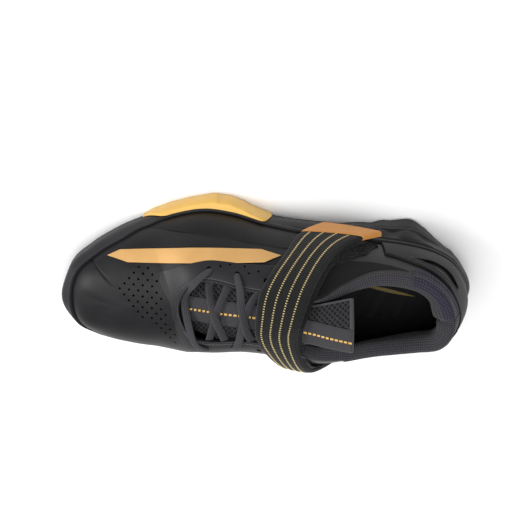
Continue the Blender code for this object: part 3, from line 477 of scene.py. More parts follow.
def shell_form(over, under, borders=None, threads=None):
    """Points, faces and pattern of two grids, joined along the borders, which are picked from the numbered grid."""
    rows, columns = over.shape[:2]
    count = rows * columns
    number = np.arange(count).reshape(rows, columns)
    faces = [quads(0, (rows, columns)), quads(count, (rows, columns))[:, ::-1]]
    for edge in all_borders(number) if borders is None else borders(number):
        faces.append(np.stack([edge[:-1], edge[1:], edge[1:] + count, edge[:-1] + count], axis=1))
    points = np.concatenate([over.reshape(-1, 3), under.reshape(-1, 3)])
    pattern = (arc_lengths(over) if threads is None else threads).reshape(-1, 2)
    return points, np.concatenate(faces), np.concatenate([pattern, pattern])


def all_borders(number):
    return [number[0], number[-1], number[:, 0], number[:, -1]]


def shells(name, *forms):
    """One or more forms of shell_form as a piece, welded where their points meet."""
    first = np.cumsum([0, *(len(points) for points, _, _ in forms)])
    faces = [face for (_, its_faces, _), start in zip(forms, first) for face in its_faces + start]
    points, pattern = (np.concatenate([form[k] for form in forms]) for k in (0, 2))
    return mesh_object(name, points, faces, pattern)


def shell(name, over, under, borders=None, threads=None):
    """A closed piece between an outer and an inner grid."""
    return shells(name, shell_form(over, under, borders, threads))


# %% [markdown]
# ## Tubes, cups and cuts
# A tape is a loop of points swept along a line, and a sole is a stack of rings that is closed across. Many small forms
# can be one piece. A Boolean modifier takes a cutter away, and it needs both forms to be closed.


# %% Tubes, cups, joined forms and cuts
def swept(line, one, other, radius, sides):
    """Round loops of points about a line, in the plane of two directions."""
    turns = np.linspace(0, 2 * math.pi, sides, endpoint=False)[:, None]
    return line[:, None] + radius * (np.cos(turns) * one[:, None] + np.sin(turns) * other[:, None])


def tube(name, loops, angle=SHARP_ANGLE, closed=False):
    """A piece through loops of points, with a face across each end, or closed on itself."""
    loops = np.concatenate([loops, loops[:, :1]], axis=1)
    if closed:
        loops = np.concatenate([loops, loops[:1]])
    rows, columns = loops.shape[:2]
    faces = list(quads(0, (rows, columns)))
    if not closed:
        faces += [np.arange(columns - 1)[::-1], np.arange(columns - 1) + (rows - 1) * columns]
    around = np.concatenate([[0], np.cumsum(np.linalg.norm(np.diff(loops, axis=1), axis=2).mean(axis=0))])
    along = run_length(loops.mean(axis=1))
    pattern = np.stack(np.broadcast_arrays(along[:, None], around[None, :]), axis=-1).reshape(-1, 2)
    return mesh_object(name, loops.reshape(-1, 3), faces, pattern, angle)


def cup(name, rings, angle=SHARP_ANGLE):
    """A piece from rings round the shoe, closed across at its first and last ring from side to side."""
    rings = np.concatenate([rings, rings[:, :1]], axis=1)
    rows, columns = rings.shape[:2]
    faces = list(quads(0, (rows, columns)))
    half = (columns - 1) // 2
    for start in (0, (rows - 1) * columns):
        for i in range(half):
            other = columns - 1 - i
            corners = [start + i, start + i + 1, start + other - 1, start + other]
            faces.append(np.array(corners if i + 1 < half else corners[:2] + corners[3:]))
    return mesh_object(name, rings.reshape(-1, 3), faces, arc_lengths(rings).reshape(-1, 2), angle)


def join_up(name, pieces):
    """Many small closed forms as one piece: each is (points, faces), and the pattern is their plan."""
    points, faces, first = [], [], 0
    for form, its_faces in pieces:
        points.append(form)
        faces += [np.asarray(face) + first for face in its_faces]
        first += len(form)
    points = np.concatenate(points)
    return mesh_object(name, points, faces, points[:, :2])


def cut(piece, cutter):
    """Takes the cutter away from the piece and deletes the cutter."""
    change = piece.modifiers.new("cut", "BOOLEAN")
    change.operation, change.solver, change.object = "DIFFERENCE", "MANIFOLD", cutter
    bpy.context.view_layer.update()
    made = bpy.data.meshes.new_from_object(piece.evaluated_get(bpy.context.evaluated_depsgraph_get()))
    before = len(piece.data.polygons)
    piece.modifiers.clear()
    piece.data = made
    made.shade_smooth()
    made.set_sharp_from_angle(angle=math.radians(SHARP_ANGLE))
    bpy.data.objects.remove(cutter)
    print("cut", piece.name, before, "faces to", len(made.polygons))


def columns_round(count):
    """Places once round the shoe, the same number in each section, with the first again at the end."""
    return np.linspace(0, 2 * N, 2 * N * count + 1)


def dress(piece, finish, slot, *stands_for):
    """Gives a piece its finish, lets it ride on the shoe, and hides the solids it stands for."""
    piece.data.materials.clear()
    piece.data.materials.append(finish)
    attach(piece, "root")
    if stands_for:
        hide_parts(*stands_for)
    print(piece.name, len(piece.data.polygons), "faces")
    return piece


# %% [markdown]
# ## Colours and nodes
# Screens show sRGB and a renderer works in linear light, so one function turns a hex colour into linear. A second one
# adds a node with its settings and links, which keeps each finish short enough to read as a recipe.


# %% One function for colours, one for nodes
def linear(hex_colour):
    """An sRGB hex colour as linear red, green, blue and alpha."""
    parts = [int(hex_colour[i : i + 2], 16) / 255 for i in (1, 3, 5)]
    return (*(p / 12.92 if p <= 0.04045 else ((p + 0.055) / 1.055) ** 2.4 for p in parts), 1.0)


def add(tree, kind, settings=None, links=None):
    """Adds a node. A setting is a property or the value of an input, and a link joins an input to an output."""
    node = tree.nodes.new("ShaderNode" + kind)
    for key, value in (settings or {}).items():
        if isinstance(key, str) and hasattr(node, key):
            setattr(node, key, value)
        else:
            node.inputs[key].default_value = value
    for key, output in (links or {}).items():
        tree.links.new(output, node.inputs[key])
    return node


def new_finish(name, **sockets):
    """A material with its shader's even values set. A socket's name is written with _ for a space."""
    made = bpy.data.materials.new(name)
    made.use_nodes = True
    shader = made.node_tree.nodes["Principled BSDF"]
    for key, value in sockets.items():
        shader.inputs[key.replace("_", " ")].default_value = value
    return made, made.node_tree, shader


def two_tone(tree, shader, factor, dark, light):
    """The base colour runs from dark to light with the factor."""
    ramp = add(tree, "Mix", {"data_type": "RGBA"}, {0: factor})
    ramp.inputs[6].default_value, ramp.inputs[7].default_value = linear(dark), linear(light)
    tree.links.new(ramp.outputs[2], shader.inputs["Base Color"])


def relief(tree, shader, height, depth, strength=1.0, under=None):
    """Bump of that depth in metres, on top of another bump where one is given."""
    links = {"Height": height}
    if under is not None:
        links["Normal"] = under.outputs["Normal"]
    bump = add(tree, "Bump", {"Distance": depth, "Strength": strength}, links)
    tree.links.new(bump.outputs["Normal"], shader.inputs["Normal"])
    return bump


def noise(tree, scale, detail, **settings):
    """A noise in the piece's own coordinates, in metres."""
    where = add(tree, "TexCoord").outputs["Object"]
    return add(tree, "TexNoise", {"Scale": scale, "Detail": detail, **settings}, {"Vector": where}).outputs["Fac"]


def uneven_gloss(tree, shader, factor, roughness, less, more):
    """The roughness runs with the factor, from a little less than its even value to a little more."""
    limits = {"To Min": roughness - less, "To Max": roughness + more}
    tree.links.new(add(tree, "MapRange", limits, {"Value": factor}).outputs[0], shader.inputs["Roughness"])


WAVE_PERIOD = 2 * math.pi / 20  # length of one wave of the Wave Texture at scale 1


# %% [markdown]
# ## Coated microfibre
# The upper of such a shoe is microfibre cloth with a coat of polyurethane, pressed with a fine leather grain. The eye
# sees a matte black with soft, broad highlights and a grain of about half a millimetre. Small cells give the grain and
# a wider noise gives the slight unevenness of the coat.


# %% The upper's coated microfibre and its smoother overlays
def coated_microfibre(name, dark, light, roughness, grain_mm, grain_depth, gloss=0.25):
    """Two near tones, an uneven gloss and a pressed grain."""
    made, tree, shader = new_finish(name, IOR=1.5, Roughness=roughness, Specular_IOR_Level=gloss)
    where = add(tree, "TexCoord").outputs["Object"]
    cells = add(tree, "TexVoronoi", {"Scale": 1 / (grain_mm * MM), "Randomness": 1.0}, {"Vector": where})
    coat = noise(tree, 60.0, 5.0, Roughness=0.6)
    two_tone(tree, shader, coat, dark, light)
    uneven_gloss(tree, shader, coat, roughness, 0.07, 0.09)
    fine = relief(tree, shader, cells.outputs["Distance"], grain_depth)
    relief(tree, shader, coat, 0.25 * MM, 0.5, fine)
    return made


UPPER_FINISH = coated_microfibre("coated_microfibre_pressed", "#151416", "#201f21", 0.42, 0.55, 0.05 * MM, 0.2)
OVERLAY_FINISH = coated_microfibre("coated_microfibre_smooth", "#1d1c1e", "#282729", 0.42, 0.4, 0.03 * MM)
SIDE_FINISH = coated_microfibre("moulded_film_satin", "#0b0a0c", "#121113", 0.45, 0.8, 0.02 * MM, 0.16)
# A near-black matte sheet: painted shade on the lateral quarter beside the collar, not a material of the shoe.
QUARTER_SHADE_FINISH = coated_microfibre("quarter_shade_painted_black", "#060507", "#0b0a0c", 0.8, 0.9, 0.05 * MM)


# %% [markdown]
# ## Moulded soles
# The wedge is injection-moulded in a tool with a spark-eroded surface, which leaves a fine even pebble. The tread is
# moulded rubber, a little duller. Both are dielectrics with an IOR near 1.5, and a small noise in the roughness keeps
# a long smooth wall from looking like glass.


# %% Moulded wedge, rubber tread and the gold outrigger
def moulded(name, dark, light, roughness, pebble_mm, depth, gloss=0.25, **more):
    """Two near tones, an uneven gloss and a fine pebble."""
    made, tree, shader = new_finish(name, IOR=1.5, Roughness=roughness, Specular_IOR_Level=gloss, **more)
    wide = noise(tree, 45.0, 4.0)
    two_tone(tree, shader, wide, dark, light)
    uneven_gloss(tree, shader, wide, roughness, 0.06, 0.08)
    relief(tree, shader, noise(tree, 1 / (pebble_mm * MM), 3.0), depth)
    return made


WEDGE_FINISH = moulded("moulded_wedge_eroded", "#18171a", "#252427", 0.5, 0.7, 0.05 * MM, 0.2)
TREAD_FINISH = moulded("moulded_rubber", "#222325", "#2f3032", 0.66, 0.9, 0.12 * MM)
CLIP_FINISH = moulded("moulded_counter_gloss", "#0d0d0f", "#151517", 0.5, 1.2, 0.02 * MM, 0.14)
# The window lips' lighter grey is a painted highlight on the counter's edges.
EDGE_HIGHLIGHT_FINISH = moulded("moulded_counter_edge_painted_highlight", "#2c2b2f", "#37363b", 0.38, 1.2, 0.02 * MM)
OUTRIGGER_FINISH = moulded(
    "moulded_urethane_gold", "#dba650", "#eabf68", 0.42, 1.1, 0.03 * MM, Subsurface_Weight=0.06
)


# %% [markdown]
# ## Metallic film
# The gold panel and the strap's end are a thin urethane film with fine aluminium flake under a gold tint, pressed on
# with heat. It is not bare metal: the flake gives a soft satin glow, so a part-metallic shader with a broad highlight
# and a faint sparkle is near it.


# %% Gold and tan film
def flake_film(name, dark, light, metallic, roughness):
    """Two near tones, mixed by a fine flake and a wide unevenness."""
    made, tree, shader = new_finish(name, Metallic=metallic, Roughness=roughness, Specular_IOR_Level=0.3)
    flake, wide = noise(tree, 2200.0, 2.0), noise(tree, 90.0, 5.0)
    tone = add(tree, "Mix", {0: 0.45}, {2: flake, 3: wide})
    two_tone(tree, shader, tone.outputs[0], dark, light)
    relief(tree, shader, flake, 0.02 * MM)
    return made


FILM_FINISH = flake_film("pressed_film_gold", "#bd8d52", "#d8ad70", 0.18, 0.52)
TIP_FINISH = flake_film("pressed_film_tan", "#b97b3a", "#d0924b", 0.12, 0.52)
# The stripe is gold; its dark ochre colour is painted shade from the collar over it.
STRIPE_SHADE_FINISH = flake_film("printed_stripe_gold_painted_shade", "#4d411c", "#66582a", 0.0, 0.7)


# %% [markdown]
# ## Woven and knitted cloth
# Webbing shows ribs across its width and a finer thread along it, and a rib knit shows rows of small stitches. Both are
# drawn from the pattern coordinates in metres, so that a pitch in millimetres can be typed in as it was measured.
# Threads under half a millimetre would not show, so they are drawn at about twice their real size.


# %% Cloth with two crossing sets of threads
def crossing_threads(name, dark, light, along_mm, across_mm, depth, roughness=0.85):
    """Two sets of waves across one another, with a fuzz over them."""
    sheen = {"Sheen_Weight": 0.1, "Sheen_Roughness": 0.5}
    made, tree, shader = new_finish(name, Roughness=roughness, Specular_IOR_Level=0.25, **sheen)
    threads = add(tree, "UVMap", {"uv_map": "threads"}).outputs["UV"]
    waves = []
    for direction, pitch in (("X", along_mm), ("Y", across_mm)):
        settings = {"bands_direction": direction, "Scale": WAVE_PERIOD / (pitch * MM), "Distortion": 0.0}
        waves.append(add(tree, "TexWave", settings, {"Vector": threads}).outputs["Fac"])
    weave = add(tree, "Math", {"operation": "MULTIPLY"}, {0: waves[0], 1: waves[1]})
    fuzz = noise(tree, 700.0, 3.0)
    tone = add(tree, "Mix", {0: 0.3}, {2: weave.outputs[0], 3: fuzz})
    two_tone(tree, shader, tone.outputs[0], dark, light)
    woven = relief(tree, shader, weave.outputs[0], depth)
    relief(tree, shader, fuzz, 0.1 * MM, 0.6, woven)
    return made


WEBBING_FINISH = crossing_threads("woven_elastic_webbing", "#0b0b0c", "#1b1b1c", 1.1, 0.9, 0.25 * MM)
LABEL_FINISH = crossing_threads("woven_label_tape", "#27272a", "#454448", 0.9, 0.8, 0.15 * MM)
LACE_FINISH = crossing_threads("braided_polyester", "#29282c", "#48474b", 1.2, 1.1, 0.2 * MM)
KNIT_FINISH = crossing_threads("rib_knit_polyester", "#1b1a1e", "#4b494e", 1.6, 1.7, 0.45 * MM)
HEEL_KNIT_FINISH = crossing_threads("mesh_knit_dark", "#15131f", "#3d3949", 2.3, 2.3, 0.35 * MM)
BOUND_FINISH = crossing_threads("woven_binding_tape", "#333236", "#4d4c50", 0.8, 0.7, 0.12 * MM)
SOCK_FINISH = crossing_threads("brushed_sock_cover", "#040405", "#0a0a0b", 1.0, 1.0, 0.1 * MM)
STITCH_FINISH = crossing_threads("sewing_thread_grey", "#4a494d", "#6a696e", 0.5, 0.5, 0.05 * MM, 0.6)
PALE_THREAD_FINISH = crossing_threads("metallised_thread_pale", "#a8925c", "#ecdca8", 0.6, 0.5, 0.05 * MM, 0.45)
GOLD_THREAD_FINISH = crossing_threads("metallised_thread_gold", "#b98a3c", "#f0cd78", 0.6, 0.5, 0.05 * MM, 0.45)


# %% [markdown]
# ## Open mesh and loop pile
# The spacer mesh of the tongue has round holes in even rows, and a brushed pile has no order at all. So the mesh takes
# a cell texture without any randomness, in the pattern coordinates, and the pile takes a fine noise.


# %% Open spacer mesh and loop pile
def spacer_mesh(name, thread, hole, pitch_mm, depth):
    """Round holes on a lattice turned by 45 degrees, between thick threads; the holes' near-black is the dark layer
    under the mesh with painted shade.
    """
    made, tree, shader = new_finish(name, Roughness=0.8, Sheen_Weight=0.1, Specular_IOR_Level=0.25)
    threads = add(tree, "UVMap", {"uv_map": "threads"}).outputs["UV"]
    turned = add(tree, "Mapping", {"Rotation": (0, 0, math.radians(45))}, {"Vector": threads})
    settings = {"voronoi_dimensions": "2D", "Scale": 1 / (pitch_mm * MM), "Randomness": 0.0}
    holes = add(tree, "TexVoronoi", settings, {"Vector": turned.outputs[0]})
    edge = add(tree, "MapRange", {"From Min": 0.33, "From Max": 0.43}, {"Value": holes.outputs["Distance"]})
    two_tone(tree, shader, edge.outputs[0], hole, thread)
    relief(tree, shader, edge.outputs[0], depth)
    return made


def loop_pile(name, dark, light):
    """A deep fine noise with a sheen."""
    made, tree, shader = new_finish(name, Roughness=0.95, Sheen_Weight=0.15, Specular_IOR_Level=0.15)
    loops = noise(tree, 900.0, 6.0, Roughness=0.75)
    two_tone(tree, shader, loops, dark, light)
    relief(tree, shader, loops, 0.9 * MM)
    return made


# The holes take a near-black colour: the dark layer under the mesh, deepened by painted shade inside the holes.
MESH_FINISH = spacer_mesh("spacer_mesh_open", "#222125", "#020202", 3.0, 0.5 * MM)
PILE_FINISH = loop_pile("brushed_loop_pile", "#050506", "#161618")
print("finishes:", len(bpy.data.materials))

# %% [markdown]
# ## The upper
# The upper is one hollow wall about 2 mm thick. On the real shoe its lateral side has a second layer, whose front edge
# shows as a low step behind the toe. The step is part of the outer grid: eight columns of points lie close together
# there, with a low notch in front of the step, and the layer fades out towards the middle of the vamp.

# %% The upper's wall
TOE_STEP, STEP_WIDE = 13.12, 0.05  # section of the layer's front edge, and how many sections it takes
STEP_COLUMNS = TOE_STEP + np.array([-0.05, -0.025, 0.0, 0.02, 0.035, 0.05, 0.07, 0.1])
LAYER = 0.6 * MM
LASTED_WAVE = 0.12 * MM


def uneven(a, h):
    """The slight waves of a lasted upper, in metres."""
    turn = 2 * math.pi * a / (2 * N)
    wave = np.sin(15 * turn + 4 * h) * np.sin(8 * turn - 6 * h + 1) + 0.5 * np.sin(30 * turn + 9 * h + 2)
    return LASTED_WAVE * wave * smooth((h - 0.1) / 0.2) * smooth((1 - h) / 0.1)


def toe_layer(a, h):
    """Height of the lateral layer above the toe's own leather."""
    step = smooth((TOE_STEP - a) / STEP_WIDE + 0.5)
    notch = 0.9 * smooth(1 - np.abs(a - TOE_STEP - 0.045) / STEP_WIDE)
    fades = smooth((0.74 - h) / 0.2) * smooth((a - 9.5) / 2)
    return LAYER * np.where(a < N, (step - notch) * fades, 0)


def open_at_throat(columns):
    """Picks the borders of the wall: all of its foot, and its top as far as the front of the throat."""

    def borders(number):
        lateral, medial = columns <= V + 1e-9, columns >= 2 * N - V - 1e-9
        return [number[0], number[-1][lateral], number[-1][medial]]

    return borders


wall_columns = np.unique(np.concatenate([columns_round(18), STEP_COLUMNS, 2 * N - STEP_COLUMNS]))
wall_a, wall_h = np.meshgrid(wall_columns, np.linspace(0, 1, 62))
wall_out = off_last(wall_a, wall_h, uneven(wall_a, wall_h) + toe_layer(wall_a, wall_h))
upper_wall = shell("upper_wall", wall_out, off_last(wall_a, wall_h, -WALL), open_at_throat(wall_columns))

# %% [markdown]
# ## Punched holes
# The vamp is perforated with a gang punch: rows of 1.8 mm holes on a slanted lattice, so the toes can breathe. Holes
# drawn in the material would stay flat, so these are cut. Each pin stands square to the leather where a ray from above
# meets it.


# %% Pins for the holes
def pin(centre, direction, radius, above, below, sides=12):
    """Points and faces of a round pin along a direction."""
    direction = unit(np.asarray(direction, float))
    side = unit(np.cross(direction, [0.3, 0.9, 0.1]))
    other = np.cross(direction, side)
    turns = np.linspace(0, 2 * math.pi, sides, endpoint=False)[:, None]
    ring = radius * (np.cos(turns) * side + np.sin(turns) * other)
    points = np.concatenate([centre + ring + direction * above, centre + ring - direction * below])
    faces = [np.array([i, (i + 1) % sides, (i + 1) % sides + sides, i + sides]) for i in range(sides)]
    return points, [*faces, np.arange(sides)[::-1], np.arange(sides) + sides]


def inside(x, y, outline):
    """Whether a point in plan lies inside an outline."""
    found = False
    for (x0, y0), (x1, y1) in zip(outline, outline[1:] + outline[:1]):
        if (y0 > y) != (y1 > y) and x < x0 + (x1 - x0) * (y - y0) / (y1 - y0):
            found = not found
    return found


VAMP_FIELD = [  # in plan, mm from the heel and from the midline
    (258.5, -8), (250, 4.5), (240, 15), (229.5, 21.5), (223, 33), (218, 38.5), (213, 31), (216.5, 20), (221.5, 9),
    (223.5, 0), (225.5, -8), (227, -20), (231.5, -26), (241, -26), (247, -20),
]
HOLE_RADIUS = 0.9 * MM
FIRST_HOLE, ROW_A, ROW_B = np.array([[242.8, 1.6], [-6.8, 0.0], [-3.3, 4.0]])  # the lattice and its two steps, mm
wall_tree = BVHTree.FromObject(upper_wall, bpy.context.evaluated_depsgraph_get())


def on_upper(x, y):
    """Where a ray from above meets the upper at x and y in mm, and the way out of the leather there."""
    start = Vector((x * MM + STEP[0], y * MM + STEP[1], 0.3))
    found, out, _, _ = wall_tree.ray_cast(start, Vector((0, 0, -1)))
    return np.array(found) - STEP, np.array(out)


steps = range(-20, 21)
lattice = [FIRST_HOLE + i * ROW_A + j * ROW_B for i in steps for j in steps]
hole_pins = [pin(*on_upper(x, y), HOLE_RADIUS, 2 * MM, 3 * MM) for x, y in lattice if inside(x, y, VAMP_FIELD)]
print("perforations:", len(hole_pins))

# %% [markdown]
# ## Eyelets
# The lace runs through plain punched eyelets, four a side. Five smaller holes lie beside the lateral ones. They all go
# through the overlay and the wall in one stroke, so the same pins cut both pieces.

# %% Eyelet pins, and the upper cut
EYELETS = [
    # lat_section lat_h med_section med_h
    (9.00, 0.85, 9.20, 0.84),
    (8.22, 0.84, 8.33, 0.85),
    (7.45, 0.85, 7.63, 0.86),
    (6.74, 0.87, 6.90, 0.87),
]
SMALL_HOLES = [(8.39, 0.758), (8.65, 0.800), (8.00, 0.745), (7.90, 0.807), (7.64, 0.770)]  # section, share
SMALL_RADIUS = 0.85 * MM
PIN_ABOVE, PIN_BELOW = 4 * MM, 5 * MM
eyelet_at = {}
for number, row in enumerate(EYELETS):
    for side, (section, h) in ((LATERAL, row[:2]), (MEDIAL, row[2:])):
        eyelet_at[side, number] = float(place(side, section)), h


def eyelet_pins():
    holes = [(a, h, EYELET_RADIUS, 20) for a, h in eyelet_at.values()]
    holes += [(float(place(LATERAL, section)), h, SMALL_RADIUS, 12) for section, h in SMALL_HOLES]
    return [pin(last(a, h), normal(a, h), radius, PIN_ABOVE, PIN_BELOW, sides) for a, h, radius, sides in holes]


cut(upper_wall, join_up("wall_pins", hole_pins + eyelet_pins()))
dress(upper_wall, UPPER_FINISH, "synthetic_leather", "upper")

# %% [markdown]
# ## Overlays on the quarter
# Thin layers are stitched and pressed on the wall: the eyestay round the throat, and a smooth moulded film along the
# lateral side that guards it against chalk and bar. Each is a thin shell that follows the last, and its edge rolls down
# to the leather over half a millimetre, which gives the fine bright line of a real cut edge.


# %% Layers on the wall, and the eyestay
def rolled_down(gap, edge):
    """How much of its thickness a layer has at a distance from its edge: a quarter of a round."""
    return np.sqrt(1 - np.clip(1 - gap / edge, 0, 1) ** 2)


EDGE_THIN = 0.12  # share of a layer's thickness that is left at its edge


def panel_form(side, sections, low, high, lift, thick, rows=40, edge=0.6 * MM, rolled=(1, 1, 1, 1)):
    """A layer on the wall between two height shares, with its low, high, back and front edges rolled or not."""
    a = place(side, sections)
    share = smooth(np.linspace(0, 1, rows)) * 0.5 + np.linspace(0, 1, rows) * 0.5
    h = low[None, :] + (high - low)[None, :] * share[:, None]
    base = last(a[None, :], h)
    up = np.linalg.norm(np.diff(base, axis=0), axis=2)
    from_low = np.concatenate([np.zeros((1, len(a))), np.cumsum(up, axis=0)])
    along = np.linalg.norm(np.diff(base, axis=1), axis=2).mean(axis=0)
    from_back = np.concatenate([[0], np.cumsum(along)])[None, :]
    gaps = (from_low, from_low[-1:] - from_low, from_back, from_back[:, -1:] - from_back)
    roll = 1.0
    for gap, is_rolled in zip(gaps, rolled):
        if is_rolled:
            roll = roll * rolled_down(gap, edge)
    over = off_last(a[None, :], h, lift + thick * (EDGE_THIN + (1 - EDGE_THIN) * roll))
    return shell_form(over, off_last(a[None, :], h, lift))


EYESTAY_REAR = 6.35
EYESTAY = {  # section and height share along its outer edge, from the rear to the middle of the vamp
    LATERAL: [
        (EYESTAY_REAR, 0.62), (7.50, 0.69), (8.50, 0.735), (9.05, 0.755), (9.50, 0.772), (9.96, 0.765), (10.44, 0.715),
        (10.85, 0.655), (11.05, 0.638), (11.18, 0.660), (11.31, 0.735), (11.33, 0.815), (11.31, 0.875), (11.30, 0.930),
        (11.32, 1.0),
    ],
    MEDIAL: [
        (EYESTAY_REAR, 0.72), (7.50, 0.74), (8.95, 0.73), (9.80, 0.74), (10.20, 0.77), (10.52, 0.80), (10.80, 0.825),
        (11.05, 0.865), (11.22, 0.915), (11.30, 0.955), (11.32, 1.0),
    ],
}


def eyestay_form(side):
    """Half of the overlay: its columns run from the rear to the vamp, and its rows from the throat's edge outwards."""
    edge = EYESTAY[side]
    t = np.linspace(0, len(edge) - 1, 230)
    outer = through(np.array(edge, float), t)
    outer[-1] = edge[-1]
    reach = (0, 0.62, 1) if side == LATERAL else (0, 0.5, 1)
    inner_section = np.interp(np.linspace(0, 1, len(t)), reach, (EYESTAY_REAR, 10.2, V))
    inner = np.stack([inner_section, np.ones(len(t))], axis=1)
    v = np.concatenate([np.linspace(0, 0.9, 22), np.linspace(0.915, 1, 12)])[:, None, None]
    both = inner[None] + (outer - inner)[None] * v
    a, h = place(side, both[..., 0]), both[..., 1]
    base = last(a, h)
    to_outer = np.linalg.norm(base - base[-1:], axis=2)
    to_rear = np.linalg.norm(base - base[:, :1], axis=2)
    roll = rolled_down(to_outer, 0.7 * MM) * rolled_down(to_rear, 0.7 * MM)
    over = off_last(a, h, GAP + OVERLAY * (EDGE_THIN + (1 - EDGE_THIN) * roll))
    return shell_form(over, off_last(a, h, GAP), lambda number: [number[0], number[-1], number[:, 0]])


eyestay = shells("eyestay_overlay", eyestay_form(LATERAL), eyestay_form(MEDIAL))
cut(eyestay, join_up("eyestay_pins", eyelet_pins()))
dress(eyestay, OVERLAY_FINISH, "overlay_leather", "eyestay")

# %% [markdown]
# ## Tape, painted shade and film
# The cut edge of the throat is bound with a round tape. Behind the eyestay a thin near-black sheet lies on the wall: it
# is painted shade, the dark that falls on the lateral quarter beside the collar. Below it lies the moulded film. Each
# table gives a section and the height shares of an edge there.

# %% Throat binding, painted shade on the quarter, and side film
THROAT_TAPE = 1.15 * MM
QUARTER = [(3.2, 0.93, 0.94), (3.8, 0.84, 0.95), (4.5, 0.72, 0.96), (5.3, 0.62, 0.97), (6.25, 0.62, 0.975)]
SIDE_FILM = [
    # section high
    (4.9, 0.36), (6.3, 0.43), (7.4, 0.455), (8.9, 0.465), (9.5, 0.43), (10.1, 0.35), (10.8, 0.19), (11.3, 0.075),
]
QUARTER_THICK, FILM_THICK = 0.25 * MM, 0.55 * MM

throat_s = np.linspace(6.3, V - 0.02, 150)
throat_a = np.concatenate([place(LATERAL, throat_s), place(MEDIAL, throat_s[::-1])])
throat_line = off_last(throat_a, 0.992, OVERLAY + 0.15 * MM)
throat_out = normal(throat_a, 0.97)
throat_side = unit(np.cross(unit(np.gradient(throat_line, axis=0)), throat_out))
throat_loops = swept(throat_line, throat_out, throat_side, THROAT_TAPE, 10)
dress(tube("throat_binding", throat_loops), OVERLAY_FINISH, "overlay_leather")

# The quarter's thin sheet is painted shade: a near-black layer where shade falls beside the collar.
quarter_s = np.linspace(QUARTER[0][0], QUARTER[-1][0], 120)
quarter_low, quarter_high = (curved(QUARTER, quarter_s, column) for column in (1, 2))
quarter = panel_form(LATERAL, quarter_s, quarter_low, quarter_high, 0.04 * MM, QUARTER_THICK, 30, 0.4 * MM)
dress(shells("quarter_shade_painted", quarter), QUARTER_SHADE_FINISH, "synthetic_leather")

film_sections = np.linspace(SIDE_FILM[0][0], SIDE_FILM[-1][0], 220)
film_low = rim_share(place(LATERAL, film_sections)) + 0.01
film_high = np.maximum(curved(SIDE_FILM, film_sections, 1), film_low + 0.02)
side_film = panel_form(LATERAL, film_sections, film_low, film_high, 0.05 * MM, FILM_THICK)
dress(shells("side_film", side_film), SIDE_FINISH, "overlay_leather")

# %% [markdown]
# ## A plain gold panel
# The side of the forefoot carries a plain long hexagon of gold film: two straight edges that follow the wall and a
# point at each end. Its middle line is where one plane meets the wall, so it stays straight when seen from above and
# beside the shoe.

# %% The gold panel
GOLD_ENDS, GOLD_LOOK = ((6.9, 0.547), (12.58, 0.29)), np.array([0.0, -0.34, 0.94])
GOLD_HALF, GOLD_POINT, GOLD_THICK = 6.2 * MM, 13 * MM, 0.3 * MM
gold_sections = np.linspace(GOLD_ENDS[0][0], GOLD_ENDS[1][0], 260)
gold_a = place(LATERAL, gold_sections)
rear, front = (last(place(LATERAL, r), h) for r, h in GOLD_ENDS)
across_plane = np.cross(front - rear, GOLD_LOOK)
heights = np.linspace(0.1, 0.9, 161)
beside = (last(gold_a[:, None], heights) - rear) @ across_plane
gold_middle = np.array([np.interp(0, row * np.sign(row[-1] - row[0]), heights) for row in beside])
gold_run = run_length(last(gold_a, gold_middle))
wall_run = np.linalg.norm(last(gold_a, gold_middle + 0.05) - last(gold_a, gold_middle - 0.05), axis=1) / 0.1
gold_reach = GOLD_HALF * np.clip(np.minimum(gold_run, gold_run[-1] - gold_run) / GOLD_POINT + 0.02, 0, 1) / wall_run
gold_low, gold_high, gold_lift = gold_middle - gold_reach, gold_middle + gold_reach, LAYER + 0.12 * MM
gold_panel = panel_form(
    LATERAL, gold_sections, gold_low, gold_high, gold_lift, GOLD_THICK, 24, 0.25 * MM, (1, 1, 0, 0)
)
dress(shells("gold_panel", gold_panel), FILM_FINISH, "strap_tip_plastic")
print("gold panel, mm long:", round(gold_run[-1] / MM, 1))

# %% [markdown]
# ## The wedge
# A weightlifting shoe stands on a hard raised heel. The wedge is one moulding with a rim round the foot of the upper.
# Its rear sides are cut with shallow flat facets, between a smooth band below and a groove under the rim. The facets
# are heights on a seeded lattice of triangles, sunk into the fine grid of the side. A table cuts the lateral corner of
# the heel flat behind its edge.


# %% Wedge with its facets, grooves and cut corner
FACET_SIZE, FACET_DEPTH, SEAM_DEPTH = 6.5 * MM, 3.0 * MM, 0.8 * MM
LATTICE_SIZE = 64  # points of the facets' lattice each way, before it repeats
SECTION_RUN = 0.021  # about how far one section is from the next along the side
CORNER_CUT = [  # section, mm
    (0.95, 0.0), (1.2, 0.85), (1.4, 2.1), (1.6, 2.4), (1.8, 2.2), (2.0, 1.6), (2.2, 1.6), (2.4, 2.3), (2.6, 1.8),
    (2.8, 0.5), (3.05, 0.0), (3.6, 0.3), (4.0, 0.0),
]


def facets(p, q, size):
    """Heights from 0 to 1 of a surface of flat triangles, at p and q in metres."""
    heights = np.random.default_rng(11).uniform(size=(LATTICE_SIZE, LATTICE_SIZE))
    x, y = p / size - 0.5 * q / size, q / (0.87 * size)
    i, j = np.floor(x).astype(int), np.floor(y).astype(int)
    u, v = x - i, y - j
    h00, h10, h01, h11 = (heights[(i + di) % LATTICE_SIZE, (j + dj) % LATTICE_SIZE] for dj in (0, 1) for di in (0, 1))
    low = h00 + u * (h10 - h00) + v * (h01 - h00)
    high = h11 + (1 - u) * (h01 - h11) + (1 - v) * (h10 - h11)
    return np.where(u + v < 1, low, high)


def corner_cut(a):
    """How far the heel's lateral corner is cut flat behind its edge, in metres."""
    return np.where(a < N, np.maximum(0.0, curved(CORNER_CUT, section_of(a), 1)) * MM, 0)


